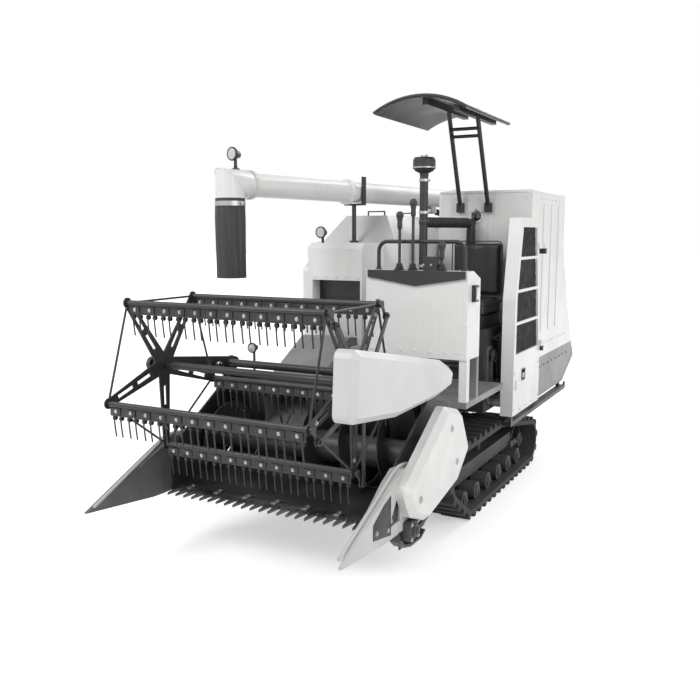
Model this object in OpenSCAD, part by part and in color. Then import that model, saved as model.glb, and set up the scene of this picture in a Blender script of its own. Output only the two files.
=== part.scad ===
// Crawler grain combine harvester with a reel header, an open operator station and a folding unloading auger.
// Forward is -Y, the operator sits on the +X side, and the tracks stand on z = 0.

/* [Machine] */
// Half of the overall width, at the drive covers
half_w = 860; // [850:1:880]
// Reach of the divider tips ahead of the middle
front_reach = 2275; // [2272:1:2290]
// Reach of the straw hood behind the middle
back_reach = 2275; // [2260:1:2290]

/* [Tracks] */
// Distance of each track's centre from the middle of the machine
track_x = 560; // [555:1:565]
// Width of a track
track_w = 380; // [350:1:384]
// Thickness of the belt
belt_t = 30; // [24:1:34]
// Height of a lug
lug_h = 30; // [22:1:34]
// Number of lugs round each half of a track
lug_n = 40; // [32:1:44]
// Place of the drive sprocket along the machine
sprocket_y = -640; // [-650:1:-620]
// Height of the drive sprocket
sprocket_z = 345; // [335:1:350]
// Outer radius of the belt on the sprocket
sprocket_turn_r = 165; // [155:1:168]
// Place of the rear idler along the machine
idler_y = 1000; // [980:1:1010]
// Outer radius of the belt on the idler
idler_turn_r = 165; // [155:1:168]
// Radius of a bottom roller
roller_r = 60; // [50:1:64]
// Number of bottom rollers
roller_n = 6; // [4:1:6]

/* [Frame] */
// Height of the top of the frame rails
rail_top = 600; // [595:1:610]
// Height of a rail's section
rail_h = 100; // [80:1:105]
// Width of a rail's section
rail_w = 60; // [50:1:64]
// Front end of the rails
rail_front = -600; // [-605:1:-595]
// Rear end of the rails
rail_back = 2000; // [1980:1:2010]

/* [Thresher] */
// Inner side of the threshing body
thresher_in = 40; // [30:1:45]
// Thickness of the drive guard on its outer side
guard_t = 120; // [110:1:140]
// Height of the flat top of the threshing body
thresher_top_z = 1785; // [1760:1:1800]
// Length of the straw hood behind it
hood_l = 175; // [165:1:195]
// Width of the inlet housing on its front
inlet_w = 406; // [396:1:412]
// Middle of the inlet across the machine
inlet_x = -303; // [-306:1:-300]
// Front wall of the inlet housing
inlet_front = -350; // [-355:1:-345]

/* [Grain tank] */
// Inner side of the grain tank
tank_in = 60; // [55:1:65]
// Room outside the tank for the engine door and its hinges
door_room = 70; // [68:1:74]
// Front wall of the tank
tank_front = 660; // [655:1:670]
// Rear edge of the tank at its rim
tank_back_top = 1690; // [1660:1:1700]
// Rear edge of the tank at its floor
tank_back_low = 2140; // [2120:1:2150]
// Underside of the tank
tank_low = 880; // [870:1:890]
// Rim of the tank
tank_rim = 2160; // [2130:1:2170]
// Thickness of the tank's walls
tank_wall = 25; // [18:1:30]

/* [Operator station] */
// Height of the operator's floor
floor_z = 830; // [820:1:840]
// Front face of the control console
console_front = -710; // [-712:1:-700]
// Inner side of the console
console_in = 115; // [105:1:120]
// Lower edge of the console
console_low = 1090; // [1070:1:1100]
// Top of the console
console_top = 1625; // [1610:1:1640]
// Depth of the console
console_d = 230; // [210:1:240]
// Top of the engine cover that carries the seat
engine_top = 1180; // [1170:1:1190]
// Middle of the seat across the machine
seat_x = 430; // [425:1:435]
// Width of the seat
seat_w = 400; // [380:1:410]

/* [Canopy] */
// Width of the canopy
canopy_w = 660; // [640:1:700]
// Length of the canopy
canopy_l = 960; // [900:1:1000]
// Top of the canopy's crown
canopy_top = 2770; // [2760:1:2790]
// Rise of the crown over the edges
canopy_rise = 90; // [70:1:100]

/* [Unloading auger] */
// Radius of the unloading tube
tube_r = 75; // [65:1:78]
// Height of the tube's axis
tube_z = 2150; // [2145:1:2160]
// Length of the tube from its lift hinge to the spout
tube_l = 2975; // [2950:1:2985]
// Angle of the stowed tube from straight ahead
tube_yaw = 8.8; // [8:0.1:9.4]
// Length of the rubber chute
chute_l = 450; // [400:1:460]

/* [Header] */
// Height of the header's lift axis
lift_z = 1030; // [1025:1:1035]
// Thickness of the cover outside the header
side_cover_t = 78; // [74:1:88]
// Front edge of the header floor
knife_y = -1600; // [-1610:1:-1590]
// Height of the header floor at the knife
knife_z = 330; // [325:1:340]
// Rear face of the header's back wall
wall_y = -1000; // [-1004:1:-996]
// Top of the back wall
wall_top = 950; // [940:1:955]
// Radius of the cross auger over its flights
auger_r = 200; // [190:1:204]
// Radius of the cross auger's drum
drum_r = 90; // [80:1:96]
// Number of guard fingers on the cutter bar
finger_n = 24; // [18:1:26]

/* [Reel] */
// Place of the reel's axis along the machine
reel_y = -1810; // [-1815:1:-1805]
// Height of the reel's axis
reel_z = 1120; // [1110:1:1125]
// Radius of the reel at its tine bars
reel_r = 455; // [445:1:460]
// Room at each end of the reel, inside the header
reel_room = 100; // [98:1:105]
// Pairs of tines on a bar
tine_n = 12; // [8:1:13]
// Length of a tine below its bar
tine_l = 165; // [150:1:170]
// Offset of the eccentric ring from the reel's axis
crank_l = 70; // [64:1:74]

/* [Engine door] */
// Front edge of the engine door
door_front = 140; // [136:1:150]
// Rear edge of the engine door
door_back = 830; // [826:1:834]
// Lower edge of the engine door
door_low = 575; // [570:1:585]
// Top of the engine door
door_top = 1960; // [1940:1:1970]
// Thickness of the engine door
door_t = 40; // [34:1:42]

/* [Hidden] */

// Outer sides and rear wall, from the machine's width and reach
thresher_out = guard_t - half_w;
thresher_back = back_reach - hood_l;
tank_out = half_w - door_room;

$fn = 48;
// Overrun of every cut past the face that it opens
over = 2;
// Clearance of a pin in its bore
run_gap = 0.3;
// Clearance of a fixed round piece from the face beside it
fit_gap = 0.5;
// Clearance of a moving piece from its neighbours
move_gap = 6;
// Clearance of an opened rod eye round its pin
eye_gap = 6;

// Frame rails
rail_gap = 10;
rail_out = track_x - track_w / 2 - rail_gap;
rail_in = rail_out - rail_w;
rail_low = rail_top - rail_h;
rail_l = rail_back - rail_front;
cross_h = 60;
cross_w = 60;
// Places of the cross members as shares of the rails' length
cross_shares = [0.012, 0.1, 0.35, 0.62, 0.97];
// Places of the track bolsters as shares of the rails' length
bolster_shares = [0.155, 0.44];
bolster_l = 110;
bolster_h = 80;
bolster_low = 200;
bolster_post = 80;
// Places of the tank's posts as shares of the rails' length
tank_post_shares = [0.56, 0.92];
floor_post_shares = [0.06, 0.21];
post_l = 60;
tow_hole_r = 18;
tow_l = 70;

// Track loop and what runs in it
front_roller_y = -430;
last_roller_y = 780;
roller_half = 140;
roller_waist = 25;
hanger_half = 30;
carrier_r = 30;
carrier_y = 200;
carrier_half = 100;
carrier_post = 20;
beam_half = 60;
beam_low = 190;
beam_h = 100;
beam_front = -480;
beam_back = 840;
wheel_half = 60;
wheel_hub_r = 40;
wheel_web = 20;
wheel_rim = 18;
wheel_gap = 4;
fork_t = 16;
fork_h = 50;
fork_l = 50;
tooth_n = 11;
tooth_h = 14;
tooth_half_share = 0.28;
roller_turn_r = roller_r + belt_t;
carrier_turn_r = carrier_r + belt_t;
carrier_z = sprocket_z + sprocket_turn_r - carrier_turn_r;
idler_z = lug_h + idler_turn_r;
roller_z = lug_h + roller_turn_r;
// Turns of the belt in order: place along the machine, height, radius of the belt's outer face
turns = [
    [sprocket_y, sprocket_z, sprocket_turn_r],
    [front_roller_y, roller_z, roller_turn_r],
    [idler_y, idler_z, idler_turn_r],
    [carrier_y, carrier_z, carrier_turn_r],
];
turn_n = len(turns);
// Section of a lug: share of the lug pitch, share of the lug's height
lug_shares = [[0, 0], [0.07, 1], [0.38, 1], [0.45, 0]];
arc_step = 12;

function wrap(a) = a - 360 * floor(a / 360);
function next(i) = (i + 1) % turn_n;
function prior(i) = (i + turn_n - 1) % turn_n;
function centre(i) = [turns[i][0], turns[i][1]];
function span(i) = centre(next(i)) - centre(i);
function step_r(i) = turns[i][2] - turns[next(i)][2];
function leave(i) = atan2(span(i)[1], span(i)[0]) - acos(step_r(i) / norm(span(i)));
function sweep(i) = wrap(leave(i) - leave(prior(i)));
function arc_l(i) = turns[i][2] * sweep(i) * PI / 180;
function run_l(i) = sqrt(norm(span(i)) ^ 2 - step_r(i) ^ 2);
function loop_l(i = 0) = i == turn_n ? 0 : arc_l(i) + run_l(i) + loop_l(i + 1);
function unit(a) = [cos(a), sin(a)];
// Point at distance s along the belt's outer face, raised by h
function belt_point(s, h, i = 0) =
    s <= arc_l(i) ? centre(i) + (turns[i][2] + h) * unit(leave(prior(i)) + s / turns[i][2] * 180 / PI)
    : s <= arc_l(i) + run_l(i) ? centre(i) + (turns[i][2] + h) * unit(leave(i)) + (s - arc_l(i))
        * unit(leave(i) + 90)
    : belt_point(s - arc_l(i) - run_l(i), h, next(i));
// Outline of the belt with its lugs, shifted by a share of the pitch
function lug_outline(phase) = [
    for (k = [0 : lug_n - 1], q = lug_shares)
        belt_point((k + phase + q[0]) % lug_n * loop_l() / lug_n, q[1] * lug_h)
];
function belt_inside() = [
    for (i = [0 : turn_n - 1])
        let (n = ceil(sweep(i) / arc_step))
            for (k = [0 : n])
                centre(i) + (turns[i][2] - belt_t) * unit(leave(prior(i)) + sweep(i) * k / n)
];

// Range about a middle, and range from a start
function ends(c, half) = [c - half, c + half];
function from(a, l) = [a, a + l];

// Box between two corners
module box(x, y, z) {
    translate([x[0], y[0], z[0]]) cube([x[1] - x[0], y[1] - y[0], z[1] - z[0]]);
}

// Outline in the plane of y and z, extruded across the machine
module across(x0, x1) {
    translate([x0, 0, 0]) rotate([90, 0, 90]) linear_extrude(x1 - x0) children();
}

// Outline in the plane of x and z, extruded along the machine
module along(y0, y1) {
    translate([0, y1, 0]) rotate([90, 0, 0]) linear_extrude(y1 - y0) children();
}

// Round bar across the machine
module shaft(x0, x1, p, r) {
    translate([x0, p[0], p[1]]) rotate([0, 90, 0]) cylinder(h = x1 - x0, r = r);
}

// Round bar between two points
module rod(a, b, r) {
    v = b - a;
    translate(a) rotate([0, acos(v[2] / norm(v)), atan2(v[1], v[0])]) cylinder(h = norm(v), r = r);
}

// Both sides of the machine
module both() {
    children();
    mirror([1, 0, 0]) children();
}

// Header lift cylinder's anchor on the frame
lift_x = -225;
lift_eye_half = 25;
lift_anchor = [rail_front + cross_shares[1] * rail_l, rail_top - 2.5 * cross_h];
cheek_t = 14;
cheek_gap = 2;
eye_r = 28;
pin_r = 14;

module pin_cheeks(x, half, p, r, top) {
    for (side = [-1, 1])
        translate([x + side * (half + cheek_gap + cheek_t / 2), 0, 0])
            across(-cheek_t / 2, cheek_t / 2) {
                translate(p) circle(r);
                translate([p[0] - r, p[1]]) square([2 * r, top - p[1]]);
            }
    shaft(x - half - cheek_t, x + half + cheek_t, p, pin_r);
}

module chassis_frame() {
    tow = [rail_back + tow_l / 2, rail_top - rail_h / 2];
    color("dimgray") {
        difference() {
            both() box([rail_in, rail_out], [rail_front, rail_back + tow_l], [rail_low, rail_top]);
            shaft(-track_x, track_x, tow, tow_hole_r);
        }
        for (q = cross_shares) {
            y = rail_front + q * rail_l;
            box([-rail_in, rail_in], [y - cross_w / 2, y + cross_w / 2], [rail_top - cross_h, rail_top]);
        }
        for (q = bolster_shares) {
            y = rail_front + q * rail_l;
            box([beam_half - track_x, track_x - beam_half], [y - bolster_l / 2, y + bolster_l / 2],
                [bolster_low, bolster_low + bolster_h]);
            both() box([rail_in, rail_out], [y - bolster_post / 2, y + bolster_post / 2], [bolster_low,
                rail_low]);
        }
        for (q = tank_post_shares)
            box([rail_in, rail_out], ends(rail_front + q * rail_l, post_l / 2), [rail_top, tank_low]);
        for (q = floor_post_shares)
            box([rail_in, rail_out], ends(rail_front + q * rail_l, post_l / 2), [rail_top,
                floor_z - floor_t]);
        pin_cheeks(lift_x, lift_eye_half, lift_anchor, eye_r, rail_top - cross_h);
    }
}

// Gearbox and its axle arms
gear_half = 150;
gear_front = 60;
gear_back = 110;
gear_low = 250;
gear_bevel = 30;
axle_r = 50;
flange_r = 75;
flange_t = 14;
flange_in = 100;
flange_x = track_x - flange_in;

module gearbox() {
    y0 = sprocket_y - gear_front;
    y1 = sprocket_y + gear_back;
    z1 = rail_top - cross_h;
    color("gray") {
        across(-gear_half, gear_half)
            polygon([[y0 + gear_bevel, gear_low], [y1 - gear_bevel, gear_low], [y1, gear_low + gear_bevel],
                [y1, z1], [y0 + gear_bevel, z1], [y0, z1 - gear_bevel], [y0, gear_low + gear_bevel]]);
        both() shaft(gear_half - over, flange_x, [sprocket_y, sprocket_z], axle_r);
        both() shaft(flange_x - flange_t, flange_x, [sprocket_y, sprocket_z], flange_r);
    }
}

module track(side) {
    color("#2b2b2b")
        translate([side * track_x, 0, 0])
            difference() {
                union() {
                    across(-track_w / 2, 0) polygon(lug_outline(0));
                    across(0, track_w / 2) polygon(lug_outline(0.5));
                }
                across(-track_w / 2 - over, track_w / 2 + over) polygon(belt_inside());
            }
}

module track_left() {
    track(1);
}

module track_right() {
    track(-1);
}

// Section of a spoked road wheel: hub, web and rim
module wheel(p, r) {
    translate([0, p[0], p[1]]) rotate([0, 90, 0]) rotate_extrude()
        polygon([[0, -wheel_half], [wheel_hub_r, -wheel_half], [wheel_hub_r, -wheel_web / 2],
            [r - wheel_rim, -wheel_web / 2], [r - wheel_rim, -wheel_half], [r, -wheel_half], [r,
                wheel_half],
            [r - wheel_rim, wheel_half], [r - wheel_rim, wheel_web / 2], [wheel_hub_r, wheel_web / 2],
            [wheel_hub_r, wheel_half], [0, wheel_half]]);
}

module sprocket() {
    tip = sprocket_turn_r - belt_t - wheel_gap;
    half = 180 / tooth_n;
    translate([0, sprocket_y, sprocket_z]) {
        across(-wheel_web, wheel_web)
            polygon([for (k = [0 : tooth_n - 1], q = [[-1, -1], [-1, 0], [1, 0], [1, -1]])
                (tip + q[1] * tooth_h)
                    * unit((2 * k + q[0] * (tooth_half_share - q[1] * tooth_half_share)) * half)]);
        shaft(flange_x - track_x, wheel_half, [0, 0], wheel_hub_r);
    }
}

module undercarriage() {
    fork_x = wheel_half + move_gap;
    color("#3c3c3c")
        translate([track_x, 0, 0]) {
            box([-beam_half, beam_half], [beam_front, beam_back], [beam_low, beam_low + beam_h]);
            for (k = [0 : roller_n - 1]) {
                y = front_roller_y + (last_roller_y - front_roller_y) * k / (roller_n - 1);
                for (side = [-1, 1])
                    shaft(min(side * roller_waist, side * roller_half), max(side * roller_waist,
                        side * roller_half),
                        [y, roller_z], roller_r - fit_gap);
                box([-roller_waist - over, roller_waist + over], [y - hanger_half, y + hanger_half],
                    [roller_z - hanger_half, beam_low + over]);
            }
            shaft(-carrier_half, carrier_half, [carrier_y, carrier_z], carrier_r - fit_gap);
            box([-carrier_post, carrier_post], [carrier_y - carrier_post, carrier_y + carrier_post],
                [beam_low + beam_h - over, carrier_z]);
            wheel([idler_y, idler_z], idler_turn_r - belt_t - wheel_gap);
            shaft(-fork_x - fork_t, fork_x + fork_t, [idler_y, idler_z], wheel_hub_r / 2);
            for (side = [-1, 1])
                translate([side * (fork_x + fork_t / 2), 0, 0])
                    box([-fork_t / 2, fork_t / 2], [beam_back - fork_l, idler_y + fork_l],
                        [idler_z - fork_h / 2, idler_z + fork_h / 2]);
            box([-fork_x - fork_t, fork_x + fork_t], [beam_back - fork_l, beam_back - over],
                [idler_z - fork_h / 2, idler_z + fork_h / 2]);
            sprocket();
        }
}

module undercarriage_left() {
    undercarriage();
}

module undercarriage_right() {
    mirror([1, 0, 0]) undercarriage();
}

// Engine under the seat, a plain block on the frame
engine_in = 110;
engine_out = 650;
engine_front = 60;
engine_gap = 20;

module engine_block() {
    color("slategray")
        box([engine_in, engine_out], [engine_front, tank_front - engine_gap], [rail_top, engine_top]);
}

// Threshing body, its inlet housing and the header's lift cheeks
thresher_front = 0;
inlet_low = 850;
inlet_bevel = 40;
belly_bevel = 110;
slot_low = 1383;
slot_h = 145;
slot_d = 110;
slot_edge = 14;
feed_r = 120;
feed_wall = 15;
lift_y = inlet_front - feed_r - move_gap;
lift_axis = [lift_y, lift_z];
lift_pin_r = 22;
lift_ear_r = 60;
feed_half = inlet_w / 2 - cheek_t - move_gap;
mouth_d = 250;

module thresher_body() {
    inlet = [inlet_x - inlet_w / 2, inlet_x + inlet_w / 2];
    color("whitesmoke") {
        along(thresher_front, thresher_back)
            polygon([[thresher_out, rail_top + belly_bevel], [thresher_out + belly_bevel, rail_top],
                [thresher_in, rail_top], [thresher_in, thresher_top_z], [thresher_out + inlet_bevel,
                    thresher_top_z],
                [thresher_out, thresher_top_z - inlet_bevel]]);
        difference() {
            across(inlet[0], inlet[1])
                polygon([[inlet_front, inlet_low], [inlet_front, thresher_top_z - inlet_bevel],
                    [inlet_front + inlet_bevel, thresher_top_z], [thresher_front + over, thresher_top_z],
                    [thresher_front + over, inlet_low]]);
            box(inlet + [slot_edge, -slot_edge], [inlet_front - over, inlet_front + slot_d],
                [slot_low, slot_low + slot_h]);
            box([inlet_x - feed_half + feed_wall, inlet_x + feed_half - feed_wall],
                [inlet_front - over, inlet_front + mouth_d], [lift_z - feed_r + feed_wall,
                    lift_z + feed_r - feed_wall]);
        }
        for (side = [-1, 1])
            translate([inlet_x + side * (inlet_w / 2 - cheek_t / 2), 0, 0]) {
                across(-cheek_t / 2, cheek_t / 2) {
                    translate(lift_axis) circle(lift_ear_r);
                    translate([lift_y, lift_z - lift_ear_r]) square([inlet_front + over - lift_y,
                        2 * lift_ear_r]);
                }
                shaft(min(0, -side * (cheek_t / 2 + move_gap + feed_wall)),
                    max(0, -side * (cheek_t / 2 + move_gap + feed_wall)), lift_axis, lift_pin_r);
            }
    }
}

// Raised cover on top of the threshing body
cover_front = 110;
cover_back = 1300;
cover_slope = 140;
cover_x = -366;
cover_half = 305;
cover_top_half = 170;
cover_h = 200;

module thresher_top() {
    color("gainsboro")
        intersection() {
            along(cover_front, cover_back)
                polygon([[cover_x - cover_half, thresher_top_z], [cover_x + cover_half, thresher_top_z],
                    [cover_x + cover_top_half, thresher_top_z + cover_h],
                    [cover_x - cover_top_half, thresher_top_z + cover_h]]);
            across(cover_x - cover_half, cover_x + cover_half)
                polygon([[cover_front, thresher_top_z], [cover_back, thresher_top_z],
                    [cover_back - cover_slope, thresher_top_z + cover_h],
                    [cover_front + cover_slope, thresher_top_z + cover_h]]);
        }
}

// Drive guard on the outer side of the threshing body, and its bevelled face
guard_bevel = 40;
guard_r = 90;
// Corners of the guard as shares of the threshing body's length and height
guard_shares = [[0.08, 0.2], [0.9, 0.2], [0.9, 0.62], [0.55, 0.8], [0.08, 0.8]];

module bevelled_plate(corners, r, bevel, x0, x1) {
    face = x1 - sign(x1 - x0) * bevel;
    hull() {
        for (p = corners)
            shaft(min(x0, face), max(x0, face), p, r);
        for (p = corners)
            shaft(min(x0, x1), max(x0, x1), p, r - bevel);
    }
}

module thresher_side() {
    corners = [for (q = guard_shares)
        [thresher_front + q[0] * (thresher_back - thresher_front),
            rail_top + q[1] * (thresher_top_z - rail_top)]];
    color("white") bevelled_plate(corners, guard_r, guard_bevel, thresher_out, -half_w, $fn = 32);
}

// Straw hood at the rear, open below
hood_wall = 20;
hood_low = 820;
hood_lip = 300;
hood_top = 1480;
hood_edge = 40;

module straw_hood() {
    x = [thresher_out + hood_edge, thresher_in - hood_edge];
    color("gainsboro")
        difference() {
            across(x[0], x[1])
                polygon([[thresher_back, hood_low], [back_reach, hood_low], [back_reach,
                    hood_low + hood_lip],
                    [thresher_back, hood_top]]);
            across(x[0] + hood_wall, x[1] - hood_wall)
                polygon([[thresher_back + hood_wall, hood_low - over], [back_reach - hood_wall,
                    hood_low - over],
                    [back_reach - hood_wall, hood_low + hood_lip - hood_wall],
                    [thresher_back + hood_wall, hood_top - 3 * hood_wall]]);
        }
}

// Grain tank, open at its rim, with a leaning rear wall and a round sight window
tank_knee_share = [0.6, 0.235];
tank_shoulder_share = 0.69;
sight_x = 365;
sight_z = 1985;
sight_r = 55;
sight_rim = 14;
sight_t = 14;

function tank_outline(w, top) =
    let (h = tank_rim - tank_low, lean = tank_back_low - tank_back_top)
    [[tank_front + w, tank_low + w], [tank_back_low - 2 * w, tank_low + w],
        [tank_back_top + tank_knee_share[0] * lean - 1.2 * w, tank_low + tank_knee_share[1] * h],
        [tank_back_top - w, tank_low + tank_shoulder_share * h], [tank_back_top - w, top],
            [tank_front + w, top]];

module grain_tank() {
    color("white") {
        difference() {
            across(tank_in, tank_out) polygon(tank_outline(0, tank_rim));
            across(tank_in + tank_wall, tank_out - tank_wall) polygon(tank_outline(tank_wall,
                tank_rim + over));
        }
        translate([sight_x, tank_front, sight_z]) rotate([90, 0, 0])
            difference() {
                cylinder(h = sight_t, r = sight_r);
                translate([0, 0, sight_t / 2]) cylinder(h = sight_t, r = sight_r - sight_rim);
            }
    }
}

// Lower side panel under the tank, and the step bar below it
panel_t = 30;
panel_low = 560;
panel_front = 835;
panel_cut = 1830;
panel_tail = 95;
panel_tail_drop = 140;
step_in = 25;
step_out = 35;
step_h = 30;
step_ends = [150, 1800];
step_hangers = [900, 1700];
hanger_l = 40;

module side_panel() {
    color("darkgray")
        across(tank_out - panel_t, tank_out)
            polygon([[panel_front, panel_low], [panel_cut, panel_low],
                [tank_back_low + panel_tail, tank_low - panel_tail_drop], [tank_back_low, tank_low],
                [panel_front, tank_low]]);
}

module side_step() {
    z = panel_low - 2 * step_h;
    color("#303030") {
        box([tank_out - step_in, tank_out + step_out], step_ends, [z, z + step_h]);
        for (y = step_hangers)
            box([tank_out - step_in, tank_out], [y, y + hanger_l], [z + step_h - over, panel_low]);
        for (y = [step_ends[0], step_ends[1] - hanger_l])
            box([tank_out + step_out - step_in / 2, tank_out + step_out], [y, y + hanger_l], [z,
                panel_low]);
    }
}

// Operator's floor
floor_t = 40;
floor_edge = 10;
riser_w = 100;
riser_d = 40;

module operator_floor() {
    back = console_front + console_d;
    color("#4a4a4a") {
        box([tank_in, tank_out], [console_front + floor_edge, engine_front - floor_edge],
            [floor_z - floor_t, floor_z]);
        box([tank_out - riser_w, tank_out], [back - riser_d, back], [floor_z - over, console_low]);
    }
}

// Control console, a shell open towards the operator, on two posts
console_wall = 25;
console_flat_share = 0.42;
console_fall = 50;
console_post = 50;
knee_drop = 90;

module console() {
    back = console_front + console_d;
    color("whitesmoke") {
        difference() {
            across(console_in, tank_out)
                polygon([[console_front, console_low], [back, console_low], [back,
                    console_top - console_fall],
                    [console_front + console_flat_share * console_d, console_top], [console_front,
                        console_top]]);
            box([console_in + console_wall, tank_out - console_wall], [console_front + console_wall,
                back + over],
                [console_low - over, console_top - knee_drop]);
        }
        for (x = [console_in, tank_out - console_post])
            box([x, x + console_post], [console_front + floor_edge,
                console_front + floor_edge + console_post],
                [floor_z, console_low + over]);
    }
}

// Dark hood inset on the console's face, with a shallow V below
visor_t = 14;
visor_edge = 15;
visor_side = 45;
visor_mid = 95;

module console_hood() {
    mid = (console_in + tank_out) / 2;
    color("#262626")
        along(console_front - visor_t, console_front)
            polygon([[console_in + visor_edge, console_top], [console_in + visor_edge,
                console_top - visor_side],
                [mid, console_top - visor_mid], [tank_out - visor_edge, console_top - visor_side],
                [tank_out - visor_edge, console_top]]);
}

// Levers and the instrument box on the console: place across, height
lever_inset = 30;
lever_y = console_front + lever_inset;
levers = [[330, 335], [420, 410], [610, 150]];
lever_r = 9;
knob_r = 24;
boot_r = 24;
boot_h = 45;
gauge_x = [500, 590];
gauge_d = 45;
gauge_h = 85;

module control_levers() {
    color("#222222") {
        for (q = levers)
            translate([q[0], lever_y, console_top]) {
                cylinder(h = boot_h, r1 = boot_r, r2 = lever_r);
                cylinder(h = q[1], r = lever_r);
                translate([0, 0, q[1]]) sphere(knob_r);
            }
        box(gauge_x, [lever_y - boot_r, lever_y - boot_r + gauge_d], [console_top, console_top + gauge_h]);
    }
}

// Handrail over the console
handrail_r = 12;
handrail_turn = 60;
handrail_h = 175;
handrail_inset = 50;
handrail_y = console_front + console_flat_share * console_d - 1.5 * handrail_r;

module handrail() {
    x0 = console_in + handrail_inset;
    x1 = tank_out - handrail_inset;
    z1 = console_top + handrail_h;
    color("#333333")
        translate([0, handrail_y, 0]) {
            for (x = [x0, x1])
                rod([x, 0, console_top], [x, 0, z1 - handrail_turn], handrail_r);
            rod([x0 + handrail_turn, 0, z1], [x1 - handrail_turn, 0, z1], handrail_r);
            for (q = [[x0 + handrail_turn, 90], [x1 - handrail_turn, 0]])
                translate([q[0], 0, z1 - handrail_turn]) rotate([90, 0, 0])
                    rotate([0, 0, q[1]]) rotate_extrude(angle = 90) translate([handrail_turn, 0])
                        circle(handrail_r);
        }
}

// Seat on the engine cover
seat_front = 110;
seat_l = 440;
seat_base_h = 90;
seat_base_inset = 30;
cushion_h = 110;
back_t = 78;
back_h = 420;
back_lean = 14;

module seat_base() {
    color("#303030")
        box([seat_x - seat_w / 2 + seat_base_inset, seat_x + seat_w / 2 - seat_base_inset],
            [seat_front + seat_base_inset, seat_front + seat_l - seat_base_inset], [engine_top,
                engine_top + seat_base_h]);
}

module seat_cushion() {
    color("#1f1f1f")
        box([seat_x - seat_w / 2, seat_x + seat_w / 2], [seat_front, seat_front + seat_l],
            from(engine_top + seat_base_h, cushion_h));
}

module seat_back() {
    y = seat_front + seat_l;
    z = engine_top + seat_base_h + cushion_h;
    color("#1f1f1f")
        across(seat_x - seat_w / 2, seat_x + seat_w / 2)
            polygon([[y - back_t, z], [y, z], [y + back_lean, z + back_h], [y + back_lean - back_t,
                z + back_h]]);
}

// Canopy on two leaning posts
canopy_x = 225;
canopy_y = 320;
canopy_t = 20;
canopy_r = ((canopy_w / 2) ^ 2 + canopy_rise ^ 2) / (2 * canopy_rise);
canopy_posts = [240, 460];
post_r = 16;
post_lean = 285;
post_foot_z = 2010;
foot_half = 26;
foot_h = 70;
foot_d = 40;
rail_half = 20;
canopy_rail_share = 0.84;
brace_r = 12;
brace_drops = [60, 110];

function canopy_under(dx) = canopy_top - canopy_r + sqrt((canopy_r - canopy_t) ^ 2 - dx ^ 2);
function canopy_rail_top(x) = canopy_under(max(abs(x - rail_half - canopy_x),
    abs(x + rail_half - canopy_x)));

module canopy_frame() {
    y0 = tank_front - foot_d / 2;
    low = canopy_rail_top(canopy_posts[1]) - 2 * rail_half;
    color("#333333") {
        for (x = canopy_posts) {
            top = canopy_rail_top(x);
            box([x - foot_half, x + foot_half], [tank_front - foot_d, tank_front], from(post_foot_z,
                foot_h));
            rod([x, y0, post_foot_z + foot_h / 2], [x, y0 - post_lean, top - rail_half], post_r);
            box([x - rail_half, x + rail_half], ends(canopy_y, canopy_rail_share * canopy_l / 2),
                [top - 2 * rail_half, top]);
        }
        for (d = brace_drops) {
            z = low - d;
            y = y0 - post_lean * (z - post_foot_z) / (low - post_foot_z);
            rod([canopy_posts[0], y, z], [canopy_posts[1], y, z], brace_r);
        }
    }
}

module canopy_roof() {
    color("gainsboro")
        intersection() {
            translate([canopy_x, canopy_y + canopy_l / 2, canopy_top - canopy_r]) rotate([90, 0, 0])
                difference() {
                    cylinder(h = canopy_l, r = canopy_r, $fn = 96);
                    translate([0, 0, -over]) cylinder(h = canopy_l + 2 * over, r = canopy_r - canopy_t,
                        $fn = 96);
                }
            box(ends(canopy_x, canopy_w / 2), ends(canopy_y, canopy_l),
                [canopy_top - 2 * canopy_rise, canopy_top + over]);
        }
}

// Air intake: stack with a bowl pre-cleaner, and its hose to the engine
stack_p = [150, 130];
hose_p = [340, 605];
hose_z = 1930;
hose_r = 32;
stack_top = 2258;
bowl_r = 80;
bowl_h = 125;
// Section of the pre-cleaner: share of its radius, share of its height
bowl_shares = [[0, 0], [0.4, 0], [0.4, 0.12], [0.78, 0.24], [1, 0.4], [1, 0.86], [0.88, 1], [0, 1]];

module intake_stack() {
    turn = [stack_p[0], stack_p[1], hose_z];
    down = [hose_p[0], hose_p[1], hose_z];
    color("#262626") {
        rod([stack_p[0], stack_p[1], engine_top], [stack_p[0], stack_p[1], stack_top + over],
            hose_r - over);
        translate([stack_p[0], stack_p[1], stack_top]) rotate_extrude()
            polygon([for (q = bowl_shares) [q[0] * bowl_r, q[1] * bowl_h]]);
        rod(turn, down, hose_r);
        for (p = [turn, down])
            translate(p) sphere(hose_r + over);
        rod([hose_p[0], hose_p[1], engine_top], down, hose_r);
    }
}

// Work lamps on the threshing body and on the console's side
lamp_p = [-450, -275];
lamp_r = 40;
lamp_d = 60;
lamp_stem = 34;
side_lamp = [-640, -580];
side_lamp_z = [1440, 1540];
side_lamp_t = 26;

module round_lamp(r, d, stem) {
    cylinder(h = stem + r / 2, r = r / 4);
    translate([0, d / 2, stem + r - over]) rotate([90, 0, 0]) cylinder(h = d, r1 = r / 2, r2 = r);
}

module work_lamps() {
    color("#2a2a2a") {
        translate([lamp_p[0], lamp_p[1], thresher_top_z]) round_lamp(lamp_r, lamp_d, lamp_stem);
        box([tank_out, tank_out + side_lamp_t], side_lamp, side_lamp_z);
    }
}

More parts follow.
